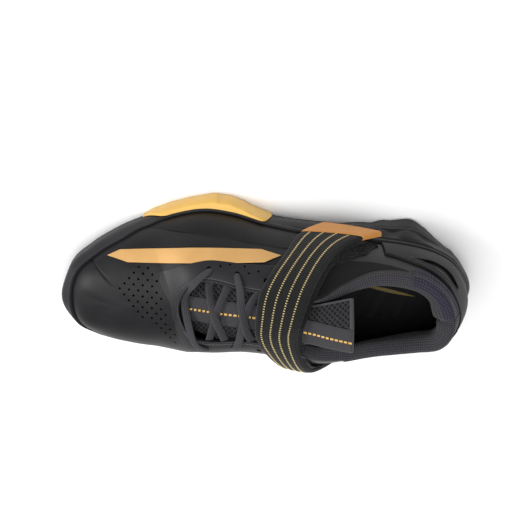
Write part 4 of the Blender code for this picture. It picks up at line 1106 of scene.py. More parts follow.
def wedge_relief(a, t):
    """How far the wedge's side stands out of or in from its plain shape."""
    r = section_of(a)
    reach = np.linalg.norm(sole_side(a, 0.0) - sole_side(a, 2.0), axis=-1)
    zone = smooth((t - 0.78) / 0.08) * smooth((1.7 - t) / 0.06) * smooth((r - 1.9) / 0.5) * smooth((5.6 - r) / 1.2)
    carved = FACET_DEPTH * (facets(r * SECTION_RUN, t * reach / 2, FACET_SIZE) - 1.0) * zone
    groove = smooth(1 - np.abs(t - 1.78) / 0.07) * smooth((6.8 - r) / 1.5)
    lower = smooth(1 - np.abs(t - 0.62) / 0.06) * smooth((6.0 - r) / 1.5) * 0.5
    return carved - SEAM_DEPTH * np.maximum(groove, lower) - corner_cut(a) * (1 - smooth((t - 0.9) / 0.8))


ring_places = columns_round(24)[:-1]
side_a, side_t = np.meshgrid(ring_places, np.linspace(0, 2, 56))
wedge_side = sole_side(side_a, side_t) + outward(side_a) * wedge_relief(side_a, side_t)[..., None]
rims, rim_wall = rim_share(ring_places), GAP + RIM_WALL * rim_full(ring_places)
rim_top = [off_last(ring_places, rims + 0.004, rim_wall * part) for part in (0.8, 0.45)]
wedge_inside = [off_last(ring_places, rims * part, GAP) for part in (1, 0.8, 0.6, 0.4, 0.2, 0)]
footbed = at_height(wedge_inside[-1], wedge_inside[-1][:, 2] - GAP)
wedge = cup("wedge", np.stack([*wedge_side, *rim_top, *wedge_inside, footbed]), 32)
dress(wedge, WEDGE_FINISH, "midsole_plastic", "midsole")

# %% [markdown]
# ## The tread
# The outsole is a rubber plate, thin under the shoe and wrapped up round the toe. Fine ribs run up its edge. Its
# grooves run across and let it bend at the ball. They are cut like those of the solid, with a block for each groove.

# %% Outsole
GROOVES = [0.10, 0.17, 0.24, 0.46, 0.52, 0.58, 0.64, 0.70]  # shares of the length
RIB_DEPTH, RIB_PITCH = 0.18 * MM, 2.4 * MM
PLATE_RINGS = [  # how far in, in treads, and the share of the height
    (0.45, 0.0), (0.3, 0.03), (0.22, 0.12), (0.12, 0.4), (0.02, 0.8), (0.0, 0.96), (0.05, 1.0),
]
plate_top = sole_foot(ring_places)
plate_top = at_height(plate_top, plate_top[:, 2] - GAP) - outward(ring_places) * corner_cut(ring_places)[:, None]
plate_run = run_length(np.concatenate([plate_top, plate_top[:1]]))[1:]
ribs = RIB_DEPTH * np.sin(2 * math.pi * plate_run / RIB_PITCH)
plate = []
for inset, up in PLATE_RINGS:
    ribbed = ribs * smooth(1 - abs(up - 0.45) / 0.4)
    ring = plate_top - outward(ring_places) * (inset * TREAD - ribbed)[:, None]
    low = tread_level(ring[:, 0])
    plate.append(at_height(ring, low + (plate_top[:, 2] - low) * up))
outsole = cup("tread_plate", np.stack(plate))


def block(x, across, wide, deep):
    """Points and faces of a groove's cutter across the tread."""
    xs, ys, zs = (x - wide / 2, x + wide / 2), (-across, across), (-deep, deep)
    points = np.array([(i, j, k) for i in xs for j in ys for k in zs])
    return points, [(0, 1, 3, 2), (4, 6, 7, 5), (0, 4, 5, 1), (2, 3, 7, 6), (0, 2, 6, 4), (1, 5, 7, 3)]


blocks = [block(share * LENGTH, BALL_WIDTH, GROOVE_WIDTH, GROOVE_DEPTH) for share in GROOVES]
cut(outsole, join_up("tread_blocks", blocks))
dress(outsole, TREAD_FINISH, "outsole_rubber", "outsole")

# %% [markdown]
# ## The outrigger
# Beside the ball a gold fin widens the sole, so that the foot does not roll outwards. It is one moulding that hugs the
# wedge up to its rim. Its section is a loop of ten points, drawn as a smooth closed curve.

# %% Outrigger
OUTRIGGER = [
    # section out, as a share of the shoe's half width
    (6.85, 0.012), (7.10, 0.035), (7.45, 0.055), (7.80, 0.090), (8.20, 0.122),
    (8.60, 0.112), (9.20, 0.082), (10.0, 0.070), (10.6, 0.045), (11.1, 0.012),
]
fin_sections = np.linspace(OUTRIGGER[0][0], OUTRIGGER[-1][0], 170)
fin_a = place(LATERAL, fin_sections)
fin_out, fin_up, clear = outward(fin_a), np.array([0.0, 0.0, 1.0]), 1.3 * GAP
fin_reach = from_table(OUTRIGGER, fin_sections, 1) * half_width(last(fin_a, 0.0)[:, 0])
fin_reach = fin_reach + 0.7 * MM * smooth((fin_sections - 8.55) / 0.05) * smooth((9.3 - fin_sections) / 0.8)
fin_end = 1 - (1 - np.clip((fin_sections - 6.83) / 0.42, 0, 1)) ** 2.5
fin_rise = 0.35 + 1.65 * smooth((11.1 - fin_sections) / 0.9) * fin_end
fin_foot, fin_middle, fin_rim = (sole_side(fin_a, t * fin_rise) + fin_out * clear for t in (0.0, 0.5, 1.0))
fin_low = at_height(fin_foot, tread_level(fin_foot[:, 0]) + clear)
reach = fin_reach[:, None]
fin_loops = np.stack(
    [
        fin_low,
        fin_foot,
        fin_middle,
        fin_rim,
        fin_rim + fin_out * 0.06 * reach + fin_up * 0.5 * MM,
        fin_rim + fin_out * 0.4 * reach + fin_up * 0.35 * MM,
        fin_rim + fin_out * 0.78 * reach - fin_up * 0.2 * MM,
        fin_middle + fin_out * 0.95 * reach,
        at_height(fin_foot + fin_out * reach, fin_low[:, 2] + 0.4 * TREAD),
        fin_low + fin_out * 0.9 * reach,
    ],
    axis=1,
)
fine = np.arange(0, 10, 0.2)
outrigger = tube("outrigger_fin", np.stack([through(loop, fine, closed=True) for loop in fin_loops]), 50)
dress(outrigger, OUTRIGGER_FINISH, "outrigger_plastic", "outrigger")

# %% [markdown]
# ## The heel counter
# A moulded clip wraps the back of the heel and holds it steady. It has a lens-shaped window on each side, with a raised
# lip round it. The lip is coloured a lighter grey than the clip, as a painted highlight along the window's edge.

# %% Heel counter with its windows
HEEL_CLIP = [
    # section bottom window_low window_high top, as shares of the wall above the wedge
    (0.0, 0.00, 0.56, 0.74, 0.84),
    (0.9, 0.00, 0.53, 0.74, 0.83),
    (1.7, 0.00, 0.47, 0.69, 0.79),
    (2.4, 0.00, 0.47, 0.66, 0.76),
    (3.1, 0.00, 0.54, 0.64, 0.72),
    (3.75, 0.00, 0.36, 0.50, 0.56),
]
WINDOW_START, WINDOW_END = 0.95, 3.1  # sections
# The lip round each window is drawn lighter than the counter: a painted highlight.
LIP_RADIUS = 0.45 * MM
LENS_STEPS = 60


def clip_height(s, column):
    """A height share of the counter at a signed section, from a column of its table."""
    bottom = rim_share(s % (2 * N)) + CLIP_LIFT
    return bottom + curved(HEEL_CLIP, np.abs(s), column) * (1 - bottom)


clip_s = np.linspace(-HEEL_CLIP[-1][0], HEEL_CLIP[-1][0], 260)
clip_low, clip_high = clip_height(clip_s, 1), clip_height(clip_s, 4)
counter = shells("heel_counter", panel_form(LATERAL, clip_s, clip_low, clip_high, GAP, CLIP_WALL, 44, 0.9 * MM))
for sign, side_name in ((1, "lateral"), (-1, "medial")):
    lens_s = sign * np.linspace(WINDOW_START, WINDOW_END, LENS_STEPS)
    lens_a = lens_s % (2 * N)
    low, high = clip_height(lens_s, 2), clip_height(lens_s, 3)
    swell = np.sin(np.linspace(0, math.pi, LENS_STEPS)) ** 0.6
    middle, half = (low + high) / 2, (high - low) / 2 * swell + 0.002
    lens_h = middle + half * np.linspace(-1, 1, 9)[:, None]
    cut(counter, shell(f"lens_{side_name}", *(off_last(lens_a, lens_h, d) for d in (4 * CLIP_WALL, -CLIP_WALL))))
    upper_edge, lower_edge = (off_last(lens_a, h, GAP + CLIP_WALL) for h in (middle + half, middle - half))
    line = np.concatenate([upper_edge, lower_edge[::-1]])
    out = np.concatenate([normal(lens_a, middle), normal(lens_a, middle)[::-1]])
    across = np.cross(unit(np.roll(line, -1, axis=0) - np.roll(line, 1, axis=0)), out)
    lip = tube(f"window_lip_{side_name}", swept(line, out, across, LIP_RADIUS, 8), closed=True)
    dress(lip, EDGE_HIGHLIGHT_FINISH, "heel_clip_plastic")
dress(counter, CLIP_FINISH, "heel_clip_plastic", "heel_clip")

# %% [markdown]
# ## The sockliner
# Inside lies a thin foam board with a brushed cover, cupped a little round its edge. Little of it can be seen, and the
# part that can shows a plain tapered printed stripe in gold, darkened to a dull ochre as painted shade, for it lies in
# the shadow of the collar.

# %% Sockliner with its stripe
SOCK_CLEAR = WALL + 1.6 * GAP
CUPPED = [(0.03, -0.2), (0.1, 0.4), (0.2, 0.9), (0.4, 1.1)]  # share of the way to the middle, drop in mm
sock_foot = last(ring_places, 0.0)[:, 2]
sock_low, sock_high = (
    off_last(ring_places, share_at(ring_places, sock_foot + up), -SOCK_CLEAR) for up in (0.3 * GAP, INSOLE)
)
centre_line = sock_high * [1, 0, 1]
inner = [sock_high + (centre_line - sock_high) * part - [0, 0, drop * MM] for part, drop in CUPPED]
sockliner = cup("sockliner", np.stack([sock_low, (sock_low + sock_high) / 2, sock_high, *inner]))
dress(sockliner, SOCK_FINISH, "insole_foam", "insole")

# The stripe's finish carries painted shade: gold drawn dark, as it lies under the collar.
STRIPE_BACK, STRIPE_FRONT, STRIPE_HALF = 0.041, 0.080, 0.0014
STRIPE_SIDE, STRIPE_SHIFT = 0.0032, 0.0092  # how far the rear end is to the side, and how much less the front end
stripe_x = np.linspace(STRIPE_BACK, STRIPE_FRONT, 40)
stripe_middle = STRIPE_SIDE - STRIPE_SHIFT * (stripe_x - STRIPE_BACK) / (STRIPE_FRONT - STRIPE_BACK)
stripe_half = STRIPE_HALF * np.sin(np.linspace(0.12, math.pi - 0.12, 40))
stripe_y = stripe_middle[None, :] + np.linspace(-1, 1, 5)[:, None] * stripe_half[None, :]
stripe_z = np.broadcast_to(bed(stripe_x) + INSOLE - 0.3 * MM, stripe_y.shape)
stripe = np.stack([np.broadcast_to(stripe_x, stripe_y.shape), stripe_y, stripe_z], axis=-1)
dress(shell("sockliner_stripe", stripe + [0, 0, 0.35 * MM], stripe), STRIPE_SHADE_FINISH, "strap_tip_plastic")

# %% [markdown]
# ## The tongue
# The tongue is a pad of foam under an open spacer mesh. The holes of the mesh are pressed into the fine grid as well as
# drawn in the finish, from the same pattern coordinates, so that they line up. Its edges are bound with tape.

# %% Tongue
TONGUE = [
    # x     y_mid  crown  half   drop   label
    (0.730, 0.100, 0.640, 0.235, 0.050, 0.10),
    (0.667, 0.078, 0.765, 0.385, 0.086, 0.08),
    (0.600, 0.060, 0.905, 0.460, 0.118, 0.06),
    (0.533, 0.050, 1.005, 0.470, 0.132, 0.05),
    (0.467, 0.060, 1.105, 0.440, 0.142, 0.07),
    (0.417, 0.100, 1.180, 0.375, 0.110, 0.16),
    (0.393, 0.120, 1.220, 0.370, 0.110, 0.18),
    (0.350, 0.090, 1.330, 0.460, 0.180, 0.19),
    (0.303, 0.060, 1.438, 0.570, 0.300, 0.20),
]
MEDIAL_TRIM = 0.30  # share of the medial half that is cut away beside the ankle
TONGUE_FRONT, TONGUE_BACK = TONGUE[0][0] * LENGTH, TONGUE[-1][0] * LENGTH
TONGUE_ROWS = 26  # rows of the solid tongue, in which its thickness was given
HOLE_PITCH, HOLE_SINK, EDGE_ROLL = 3.0 * MM, 0.45 * MM, 0.9 * MM


def tongue_row(x):
    """The tongue's table at x."""
    t = np.interp(-np.asarray(x, float), [-row[0] * LENGTH for row in TONGUE], range(len(TONGUE)))
    return through(np.array(TONGUE), t)


def tongue_point(x, across, sink=0.0):
    """A point on the tongue's outer face: across goes from -1 at its lateral edge to 1 at its medial edge."""
    x, across, sink = np.broadcast_arrays(*(np.asarray(v, float) for v in (x, across, sink)))
    row = tongue_row(x)
    middle, crown, half, drop = (row[..., k] for k in (1, 2, 3, 4))
    wide = half_width(x)
    height = crown * (BALL_STACK + INSTEP_RISE) - drop * wide * across**2
    slope = 2 * drop * across / np.maximum(half, 1e-6)
    out = unit(np.stack([0.45 * smooth(1.6 - x / LENGTH * 2), slope, np.ones_like(x)], axis=-1))
    return np.stack([x, (middle + half * across) * wide, height], axis=-1) - out * sink[..., None]


def across_tongue(x, y):
    """The share across the tongue at y."""
    row = tongue_row(x)
    return (y / half_width(x) - row[..., 1]) / row[..., 3]


def on_tongue(x, y, lift):
    """A point above the tongue's webbing at x and y."""
    return tongue_point(x, across_tongue(x, y), -(LABEL_THICKNESS + 3 * GAP + LACE_THICKNESS / 2 + lift))


def trimmed(x, v):
    """The share across the tongue, drawn in on the medial side behind the strap."""
    return v * (1 - MEDIAL_TRIM * (v > 0) * smooth((0.44 - x / LENGTH) / 0.06))


tongue_x, share_v = np.meshgrid(np.linspace(TONGUE_FRONT, TONGUE_BACK, 250), np.linspace(-1, 1, 110))
tongue_v = trimmed(tongue_x, share_v)
row_at = (TONGUE_FRONT - tongue_x) / (TONGUE_FRONT - TONGUE_BACK) * TONGUE_ROWS
thick = TONGUE_PAD * (0.35 + 0.65 * smooth(row_at / 6)) * (1 - 0.5 * smooth((row_at - 23) / 3))
tongue_threads = arc_lengths(tongue_point(tongue_x, tongue_v))
thread_u, thread_v = tongue_threads[..., 0], tongue_threads[..., 1]
turned = math.sqrt(0.5) * np.stack([thread_u - thread_v, thread_u + thread_v], axis=-1) / HOLE_PITCH
to_hole = np.linalg.norm(turned - np.round(turned), axis=-1)
edge_gap = 1 - np.abs(share_v)
pressed = HOLE_SINK * (1 - smooth((to_hole - 0.30) / 0.12)) * smooth(edge_gap / 0.12)
rolled_edge = EDGE_ROLL * (1 - smooth(edge_gap / 0.07))
tongue = shell(
    "tongue_pad",
    tongue_point(tongue_x, tongue_v, pressed + rolled_edge),
    tongue_point(tongue_x, tongue_v, thick * (1 - 0.6 * np.abs(share_v) ** 3)),
    threads=tongue_threads,
)
dress(tongue, MESH_FINISH, "tongue_mesh", "tongue")


# %% [markdown]
# ## Tape round the tongue
# The raw edge of the foam is bound with a round woven tape, along the top and down both sides.


# %% Bindings of the tongue
def binding(name, line, radius, sides=8):
    """A round tape along a line of points."""
    along = unit(np.gradient(line, axis=0))
    side = unit(np.cross(along, np.array([0.05, 0.1, 1.0])))
    dress(tube(name, swept(line, side, np.cross(side, along), radius, sides)), BOUND_FINISH, "label_webbing")


TOP_TAPE, SIDE_TAPE = 1.5 * MM, 1.0 * MM
top_line = tongue_point(TONGUE_BACK, trimmed(TONGUE_BACK, np.linspace(-1, 1, 90)), 1.3 * MM)
binding("tongue_top_binding", top_line, TOP_TAPE, 12)
side_x = np.linspace(TONGUE_BACK, 0.62 * LENGTH, 120)
for side, side_name in ((LATERAL, "lateral"), (MEDIAL, "medial")):
    side_line = tongue_point(side_x, trimmed(side_x, side * 0.985), 0.9 * MM)
    binding(f"tongue_binding_{side_name}", side_line, SIDE_TAPE)

# %% [markdown]
# ## The webbing on the tongue
# A woven tape runs down the tongue and keeps the laces in line. A plain row of gold dashes is woven in along its
# middle. Each dash is a float, a thread that passes over a few others, and is drawn as a small low pillow.

# %% Label tape and its dashes
LABEL_FRONT, LABEL_BACK = 0.705, 0.297  # shares of the length
TAPE_WIDTH = 1.12 * LABEL_WIDTH
DASH_PITCH, DASH_SIZE = 3.6 * MM, (2.4 * MM, 1.5 * MM, 0.25 * MM)


def on_label(x, v, lift):
    """A point on the tape: v goes from -1 to 1 across it."""
    middle = tongue_row(x)[..., 5] * half_width(x)
    return tongue_point(x, across_tongue(x, middle + v * TAPE_WIDTH / 2), -(GAP + lift))


label_x, label_v = np.meshgrid(np.linspace(LABEL_FRONT, LABEL_BACK, 220) * LENGTH, np.linspace(-1, 1, 26))
selvage = LABEL_THICKNESS * (1 - 0.5 * np.abs(label_v) ** 14)
label = shell("label_tape", on_label(label_x, label_v, selvage), on_label(label_x, label_v, 0.0))
dress(label, LABEL_FINISH, "label_webbing", "tongue_label")


def plate(centre, along, out, long, wide, high):
    """A small woven float: a low pillow on the cloth."""
    side = np.cross(out, along)
    points = [
        centre + along * s * long / long_part + side * t * wide / wide_part + out * up * high
        for long_part, wide_part, up in ((2, 2, -0.2), (2, 2, 0.5), (3, 4, 1.0))
        for s, t in ((-1, -1), (1, -1), (1, 1), (-1, 1))
    ]
    around = [(ring + i, ring + (i + 1) % 4, ring + (i + 1) % 4 + 4, ring + i + 4) for ring in (0, 4) for i in range(4)]
    return np.array(points), [(3, 2, 1, 0), (8, 9, 10, 11), *around]


def floats(name, line, out, pitch, size, finish, slot):
    """A row of small floats along a line of points, at an even pitch."""
    run = run_length(line)
    at = np.arange(pitch / 2, run[-1], pitch)
    centres, outs = (np.stack([np.interp(at, run, rows[:, k]) for k in range(3)], axis=-1) for rows in (line, out))
    outs = unit(outs)
    alongs = unit(np.gradient(centres, axis=0))
    alongs = unit(alongs - outs * np.sum(alongs * outs, axis=1, keepdims=True))
    forms = [plate(c, d, o, *size) for c, d, o in zip(centres, alongs, outs)]
    return dress(join_up(name, forms), finish, slot)


dash_x = np.linspace(LABEL_FRONT - 0.01, LABEL_BACK + 0.004, 300) * LENGTH
dash_line = on_label(dash_x, 0.0, LABEL_THICKNESS)
dash_out = unit(on_label(dash_x, 0.0, 2 * LABEL_THICKNESS) - dash_line)
floats("label_dashes", dash_line, dash_out, DASH_PITCH, DASH_SIZE, GOLD_THREAD_FINISH, "label_webbing")

# %% [markdown]
# ## The laces
# One flat braided lace, 5.6 mm wide, is laced from the front: a bar over the first pair of eyelets, then two
# crossings. Each run comes up through an eyelet or out from under the edge of the throat, and where two runs cross, the
# upper one rides over the lower. A run is a flat oval swept along its line, and it narrows where it dives into an
# eyelet.

# %% Lace runs
UP = np.array([-0.3, 0.0, 1.0])
LACE_SEEN = 0.82 * LACE_WIDTH  # the real lace is a little narrower than the solid one
LACE_STAND = OVERLAY + 3 * GAP + LACE_THICKNESS / 2


def lace_stop(row):
    """The place of one row of a run, the way its flat face looks, and the share of its width there."""
    kind = row[0]
    if kind == "eyelet":
        a, h = eyelet_at[row[1], row[2]]
        inward = unit(last(a, h + 0.02) - last(a, h))
        return off_last(a, h, LACE_STAND * 0.7) + inward * 1.8 * MM, normal(a, h), 0.72
    if kind == "down":
        a, h = eyelet_at[row[1], row[2]]
        outward_side = unit(last(a, h - 0.02) - last(a, h))
        return off_last(a, h, -3.4 * MM) + outward_side * row[3] * MM, normal(a, h) + 0.8 * outward_side, 0.4
    if kind == "edge":
        a = place(row[1], row[2])
        return off_last(a, 1.0, LACE_STAND), normal(a, 1.0), 1.0
    if kind == "under":
        a = place(row[1], row[2])
        return off_last(a, 0.97, -WALL - GAP - LACE_THICKNESS / 2), normal(a, 0.97), 1.0
    x, y, lift = row
    return on_tongue(x * LENGTH, y * half_width(x * LENGTH), lift * LACE_THICKNESS), unit(UP), 1.0


LACES = {
    "lace_bar_run": (
        "lace_bar",
        [
            [
                ("down", LATERAL, 0, 0.4),
                ("eyelet", LATERAL, 0),
                ("edge", LATERAL, 9.62),
                (0.694, -0.05, 1.0),
                ("edge", MEDIAL, 9.75),
                ("eyelet", MEDIAL, 0),
                ("down", MEDIAL, 0, 0.4),
            ]
        ],
    ),
    "lace_front_runs": (
        "lace_cross_front",
        [
            [
                ("under", LATERAL, 8.95),
                (0.634, -0.28, 0.4),
                (0.621, 0.05, 2.1),
                (0.600, 0.38, 0.6),
                ("under", MEDIAL, 8.6),
            ],
            [
                ("under", LATERAL, 8.45),
                (0.592, -0.28, 0.4),
                (0.614, 0.02, 0.9),
                (0.632, 0.40, 0.8),
                ("under", MEDIAL, 9.1),
            ],
        ],
    ),
    "lace_rear_runs": (
        "lace_cross_rear",
        [
            [
                ("down", LATERAL, 1, 0.4),
                ("eyelet", LATERAL, 1),
                ("edge", LATERAL, 8.10),
                (0.550, 0.00, 1.9),
                (0.538, 0.33, 0.3),
                ("under", MEDIAL, 7.75),
            ],
            [
                ("under", LATERAL, 7.35),
                (0.520, -0.26, 0.3),
                (0.545, 0.02, 0.7),
                ("edge", MEDIAL, 8.15),
                ("eyelet", MEDIAL, 1),
                ("down", MEDIAL, 1, 0.4),
            ],
        ],
    ),
}


# %% [markdown]
# ## A run of lace
# Each run is a smooth line through its stops. Its section is a flat loop with slightly square corners, as a braid has,
# and it grows a little thicker where an eyelet presses it narrow.


# %% Sweep the runs
def lace_run(name, route):
    """One run of lace through its stops."""
    stops = [lace_stop(row) for row in route]
    t = np.linspace(0, len(stops) - 1, 26 * (len(stops) - 1))
    line = through(np.array([np.asarray(p, float) for p, _, _ in stops]), t)
    face = unit(through(np.array([unit(np.asarray(n, float)) for _, n, _ in stops]), t))
    width = np.interp(t, range(len(stops)), [w for _, _, w in stops])
    along = unit(np.gradient(line, axis=0))
    side = unit(np.cross(along, face))
    up = np.cross(side, along)
    turns = np.linspace(0, 2 * math.pi, 28, endpoint=False)
    flat = np.sign(np.cos(turns)) * np.abs(np.cos(turns)) ** 0.75
    tall = np.sign(np.sin(turns)) * np.abs(np.sin(turns)) ** 0.8
    full = (LACE_THICKNESS / 2 * (1 + 0.35 * (1 - width)))[:, None, None]
    loops = line[:, None] + side[:, None] * (flat * LACE_SEEN / 2)[None, :, None] * width[:, None, None]
    return tube(name, loops + up[:, None] * tall[None, :, None] * full, 60)


def join_objects(name, pieces):
    """Several objects as one, with their meshes side by side."""
    work = bmesh.new()
    for piece in pieces:
        work.from_mesh(piece.data)
    work.to_mesh(pieces[0].data)
    work.free()
    for piece in pieces[1:]:
        bpy.data.objects.remove(piece)
    pieces[0].name = name
    return pieces[0]


for name, (node, runs) in LACES.items():
    made = [lace_run(f"{name}_{i}", route) for i, route in enumerate(runs)]
    dress(join_objects(name, made), LACE_FINISH, "lace_braid", node)

# %% [markdown]
# ## Stitches round the throat
# A row of lock stitches holds the overlay beside the throat. Each stitch is a small pillow, 2.4 mm from the next.

# %% Stitches
STITCH_PITCH, STITCH_SIZE = 2.4 * MM, (1.7 * MM, 0.5 * MM, 0.3 * MM)
SEAM_START, SEAM_END, SEAM_SHARE = 6.6, 10.3, 0.962  # two sections and the share of the wall's height
for side, side_name in ((LATERAL, "lateral"), (MEDIAL, "medial")):
    seam_a = place(side, np.linspace(SEAM_START, SEAM_END, 200))
    seam, seam_out = off_last(seam_a, SEAM_SHARE, GAP + OVERLAY), normal(seam_a, SEAM_SHARE)
    name = f"throat_stitches_{side_name}"
    floats(name, seam, seam_out, STITCH_PITCH, STITCH_SIZE, STITCH_FINISH, "overlay_leather")

# %% [markdown]
# ## The collar
# The padded topline is a roll of foam under a rib knit. It lines the inside of the opening and rolls over the edge of
# the wall. Its section is a loop of thirteen points, drawn as a smooth closed curve. Two covers of knit lap the edge.

# %% Collar roll
COLLAR_END = 6.1
COLLAR = [  # shares of the pad, the crest and the depth
    # section pad   crest depth
    (0.0, 1.00, 1.00, 1.00),
    (3.0, 1.00, 1.00, 1.00),
    (4.0, 0.95, 0.95, 0.95),
    (5.0, 0.62, 0.62, 0.70),
    (6.1, 0.20, 0.20, 0.30),
    (6.8, 0.16, 0.10, 0.30),
]


def wall_height(a):
    """The length of the wall from its foot to its top edge."""
    heights = np.linspace(0, 1, 13)[:, None]
    return np.linalg.norm(np.diff(last(a[None, :], heights), axis=0), axis=2).sum(axis=0)


roll_s = np.linspace(-COLLAR_END - 0.7, COLLAR_END, 440)
roll_a = roll_s % (2 * N)
crease = np.exp(-(((roll_s - 0.15) / 0.22) ** 2))
rear_full = 1 + 0.5 * np.exp(-(((roll_s - 0.7) / 1.3) ** 2))
medial_full = 1 + 0.9 * smooth((-roll_s - 4.0) / 2) + 2.2 * smooth((-roll_s - 5.0) / 1.1)
pad = COLLAR_PAD * from_table(COLLAR, np.abs(roll_s), 1) * medial_full * rear_full * (1 - 0.3 * crease)
crest = COLLAR_CREST * from_table(COLLAR, np.abs(roll_s), 2) * (1 - 0.35 * crease)
depth = COLLAR_DEPTH * from_table(COLLAR, np.abs(roll_s), 3)
roll_edge, roll_out = last(roll_a, 1.0), normal(roll_a, 1.0)
roll_up = unit(roll_edge - last(roll_a, 0.97))
roll_clear = WALL + 1.8 * GAP
roll_wall = wall_height(roll_a)


def lining(distance, below):
    """Points off the wall, at a length below its top edge."""
    return off_last(roll_a, 1 - below / roll_wall, distance)


def crown(distance, over):
    """Points off the top edge, at a height over it."""
    distance, over = np.broadcast_to(distance, roll_a.shape), np.broadcast_to(over, roll_a.shape)
    return roll_edge + roll_out * distance[:, None] + roll_up * over[:, None]


roll = np.stack(
    [
        lining(-roll_clear, depth),
        lining(-roll_clear, 0.5 * depth),
        lining(-roll_clear, 0.0 * depth),
        crown(-roll_clear, GAP),
        crown(0.15 * WALL, GAP),
        crown(0.25 * WALL, 0.45 * crest),
        crown(-0.5 * roll_clear, 0.9 * crest),
        crown(-roll_clear - 0.35 * pad, crest),
        crown(-roll_clear - 0.8 * pad, 0.55 * crest),
        lining(-roll_clear - pad, 0.12 * depth),
        lining(-roll_clear - pad, 0.4 * depth),
        lining(-roll_clear - 0.62 * pad, 0.75 * depth),
        lining(-roll_clear - 0.15 * pad, depth),
    ],
    axis=1,
)
roll_fine = np.arange(0, 13, 0.2)
collar = tube("collar_roll", np.stack([through(loop, roll_fine, closed=True) for loop in roll]), 60)
dress(collar, KNIT_FINISH, "collar_knit", "collar")


COVER_LIFT, COVER_THICK = 0.45 * MM, 0.4 * MM


def collar_cover(name, first, final, low, finish):
    """Knit that runs up the outside of the wall and over the crest of the roll."""
    rows = (roll_s >= first) & (roll_s <= final)
    a = roll_a[rows]
    on_wall = [off_last(a, h, GAP + COVER_LIFT) for h in (low, low + 0.05, 0.9, 0.95, 0.995)]
    over_edge = [crown(0.25 * WALL + 0.7 * MM, 0.5 * crest), crown(-0.45 * roll_clear, 0.9 * crest + 0.5 * MM)]
    over_edge.append(crown(-roll_clear - 0.3 * pad, crest + 0.12 * MM))
    lines = np.stack([*on_wall, *(line[rows] for line in over_edge)])
    top = through(lines.reshape(len(lines), -1), np.linspace(0, len(lines) - 1, 40)).reshape(40, len(a), 3)
    down = unit(np.cross(np.gradient(top, axis=1), np.gradient(top, axis=0)))
    down = down * -np.sign(np.sum(down * normal(a, 0.95), axis=-1).mean())
    dress(shell(name, top, top + down * COVER_THICK), finish, "collar_knit")


collar_cover("collar_cover_medial", -5.0, 0.25, 0.84, KNIT_FINISH)
collar_cover("collar_patch_lateral", 0.3, 3.1, 0.86, HEEL_KNIT_FINISH)

# %% [markdown]
# ## The strap
# A wide elastic webbing runs from the medial side of the sole, over the lacing, to a fleece patch on the lateral
# quarter. Four lines of gold thread are woven in along it. Each float of that thread is a small form of its own, 1.85
# mm apart, so that the lines glint as beads do.

# %% Strap
STRAP = [
    # side: front section and share, rear section and share, and how far off the wall each is, in strap thicknesses
    # over: front and rear x, y, front and rear height, and the lean to the side
    ("medial", 5.35, 0.16, 4.25, 0.15, 1.2, 1.2),
    ("medial", 5.95, 0.34, 4.95, 0.34, 1.8, 1.8),
    ("medial", 6.60, 0.52, 5.60, 0.56, 2.2, 2.2),
    ("medial", 7.08, 0.74, 6.20, 0.82, 2.0, 2.0),
    ("over", 0.5235, 0.4264, 0.33, 1.13, 1.20, 0.35),
    ("over", 0.5235, 0.4180, 0.00, 1.17, 1.27, 0.00),
    ("over", 0.5170, 0.3990, -0.36, 1.14, 1.22, -0.35),
    ("lateral", 7.30, 0.79, 6.00, 0.88, 1.8, 1.8),
    ("lateral", 6.92, 0.61, 5.42, 0.66, 1.2, 1.3),
    ("lateral", 6.50, 0.43, 4.82, 0.46, 1.2, 1.2),
    ("lateral", 6.08, 0.25, 4.24, 0.29, 1.6, 1.5),
    ("lateral", 5.40, 0.02, 3.74, 0.07, 2.6, 2.2),
]


def strap_row(row):
    """The front and rear ends of one line across the strap, and the way out there."""
    kind, *values = row
    if kind == "over":
        front_x, rear_x, y, front_z, rear_z, lean = values
        corners = ((front_x * LENGTH, front_z), (rear_x * LENGTH, rear_z))
        ends = [np.array([x, y * half_width(x), z * (BALL_STACK + INSTEP_RISE)]) for x, z in corners]
        return ends, [unit(np.array([0.2, lean, 1.0]))] * 2
    side = LATERAL if kind == "lateral" else MEDIAL
    front_r, front_h, rear_r, rear_h, front_off, rear_off = values
    ends, outs = [], []
    for r, h, stand in ((front_r, front_h, front_off), (rear_r, rear_h, rear_off)):
        a = place(side, r)
        ends.append(off_last(a, h, stand * STRAP_THICKNESS))
        outs.append(normal(a, h))
    return ends, outs


FINE = 20  # lines to a row of the table
BEND = 16  # how many of them a bend is rounded over, each way


def rounded(values):
    """The rows' values at each fine line, with the bends rounded by a running mean."""
    line = through(np.array(values), np.arange(0, len(STRAP) - 1 + 1e-9, 1 / FINE))
    before, after = 2 * line[:1] - line[BEND:0:-1], 2 * line[-1:] - line[-2 : -BEND - 2 : -1]
    weights = np.hanning(2 * BEND + 3)[1:-1]
    longer = np.concatenate([before, line, after])
    return np.stack([np.convolve(longer[:, k], weights / weights.sum(), "valid") for k in range(3)], axis=1)


strap_rows = [strap_row(row) for row in STRAP]
FRONT_LINE, REAR_LINE = (rounded([ends[k] for ends, _ in strap_rows]) for k in (0, 1))
FRONT_OUT, REAR_OUT = (rounded([outs[k] for _, outs in strap_rows]) for k in (0, 1))


def on_strap(t, v, lift):
    """A point of the strap: t counts the rows from its medial end, v goes from its front to its rear edge."""
    t, v, lift = np.broadcast_arrays(*(np.asarray(value, float) for value in (t, v, lift)))
    front, rear = (through(line, t * FINE) for line in (FRONT_LINE, REAR_LINE))
    out_front, out_rear = (unit(through(line, t * FINE)) for line in (FRONT_OUT, REAR_OUT))
    out = unit(out_front + (out_rear - out_front) * v[..., None])
    bow = STRAP_CROWN * (1 - (2 * v - 1) ** 2)
    return front + (rear - front) * v[..., None] + out * (bow + lift)[..., None]


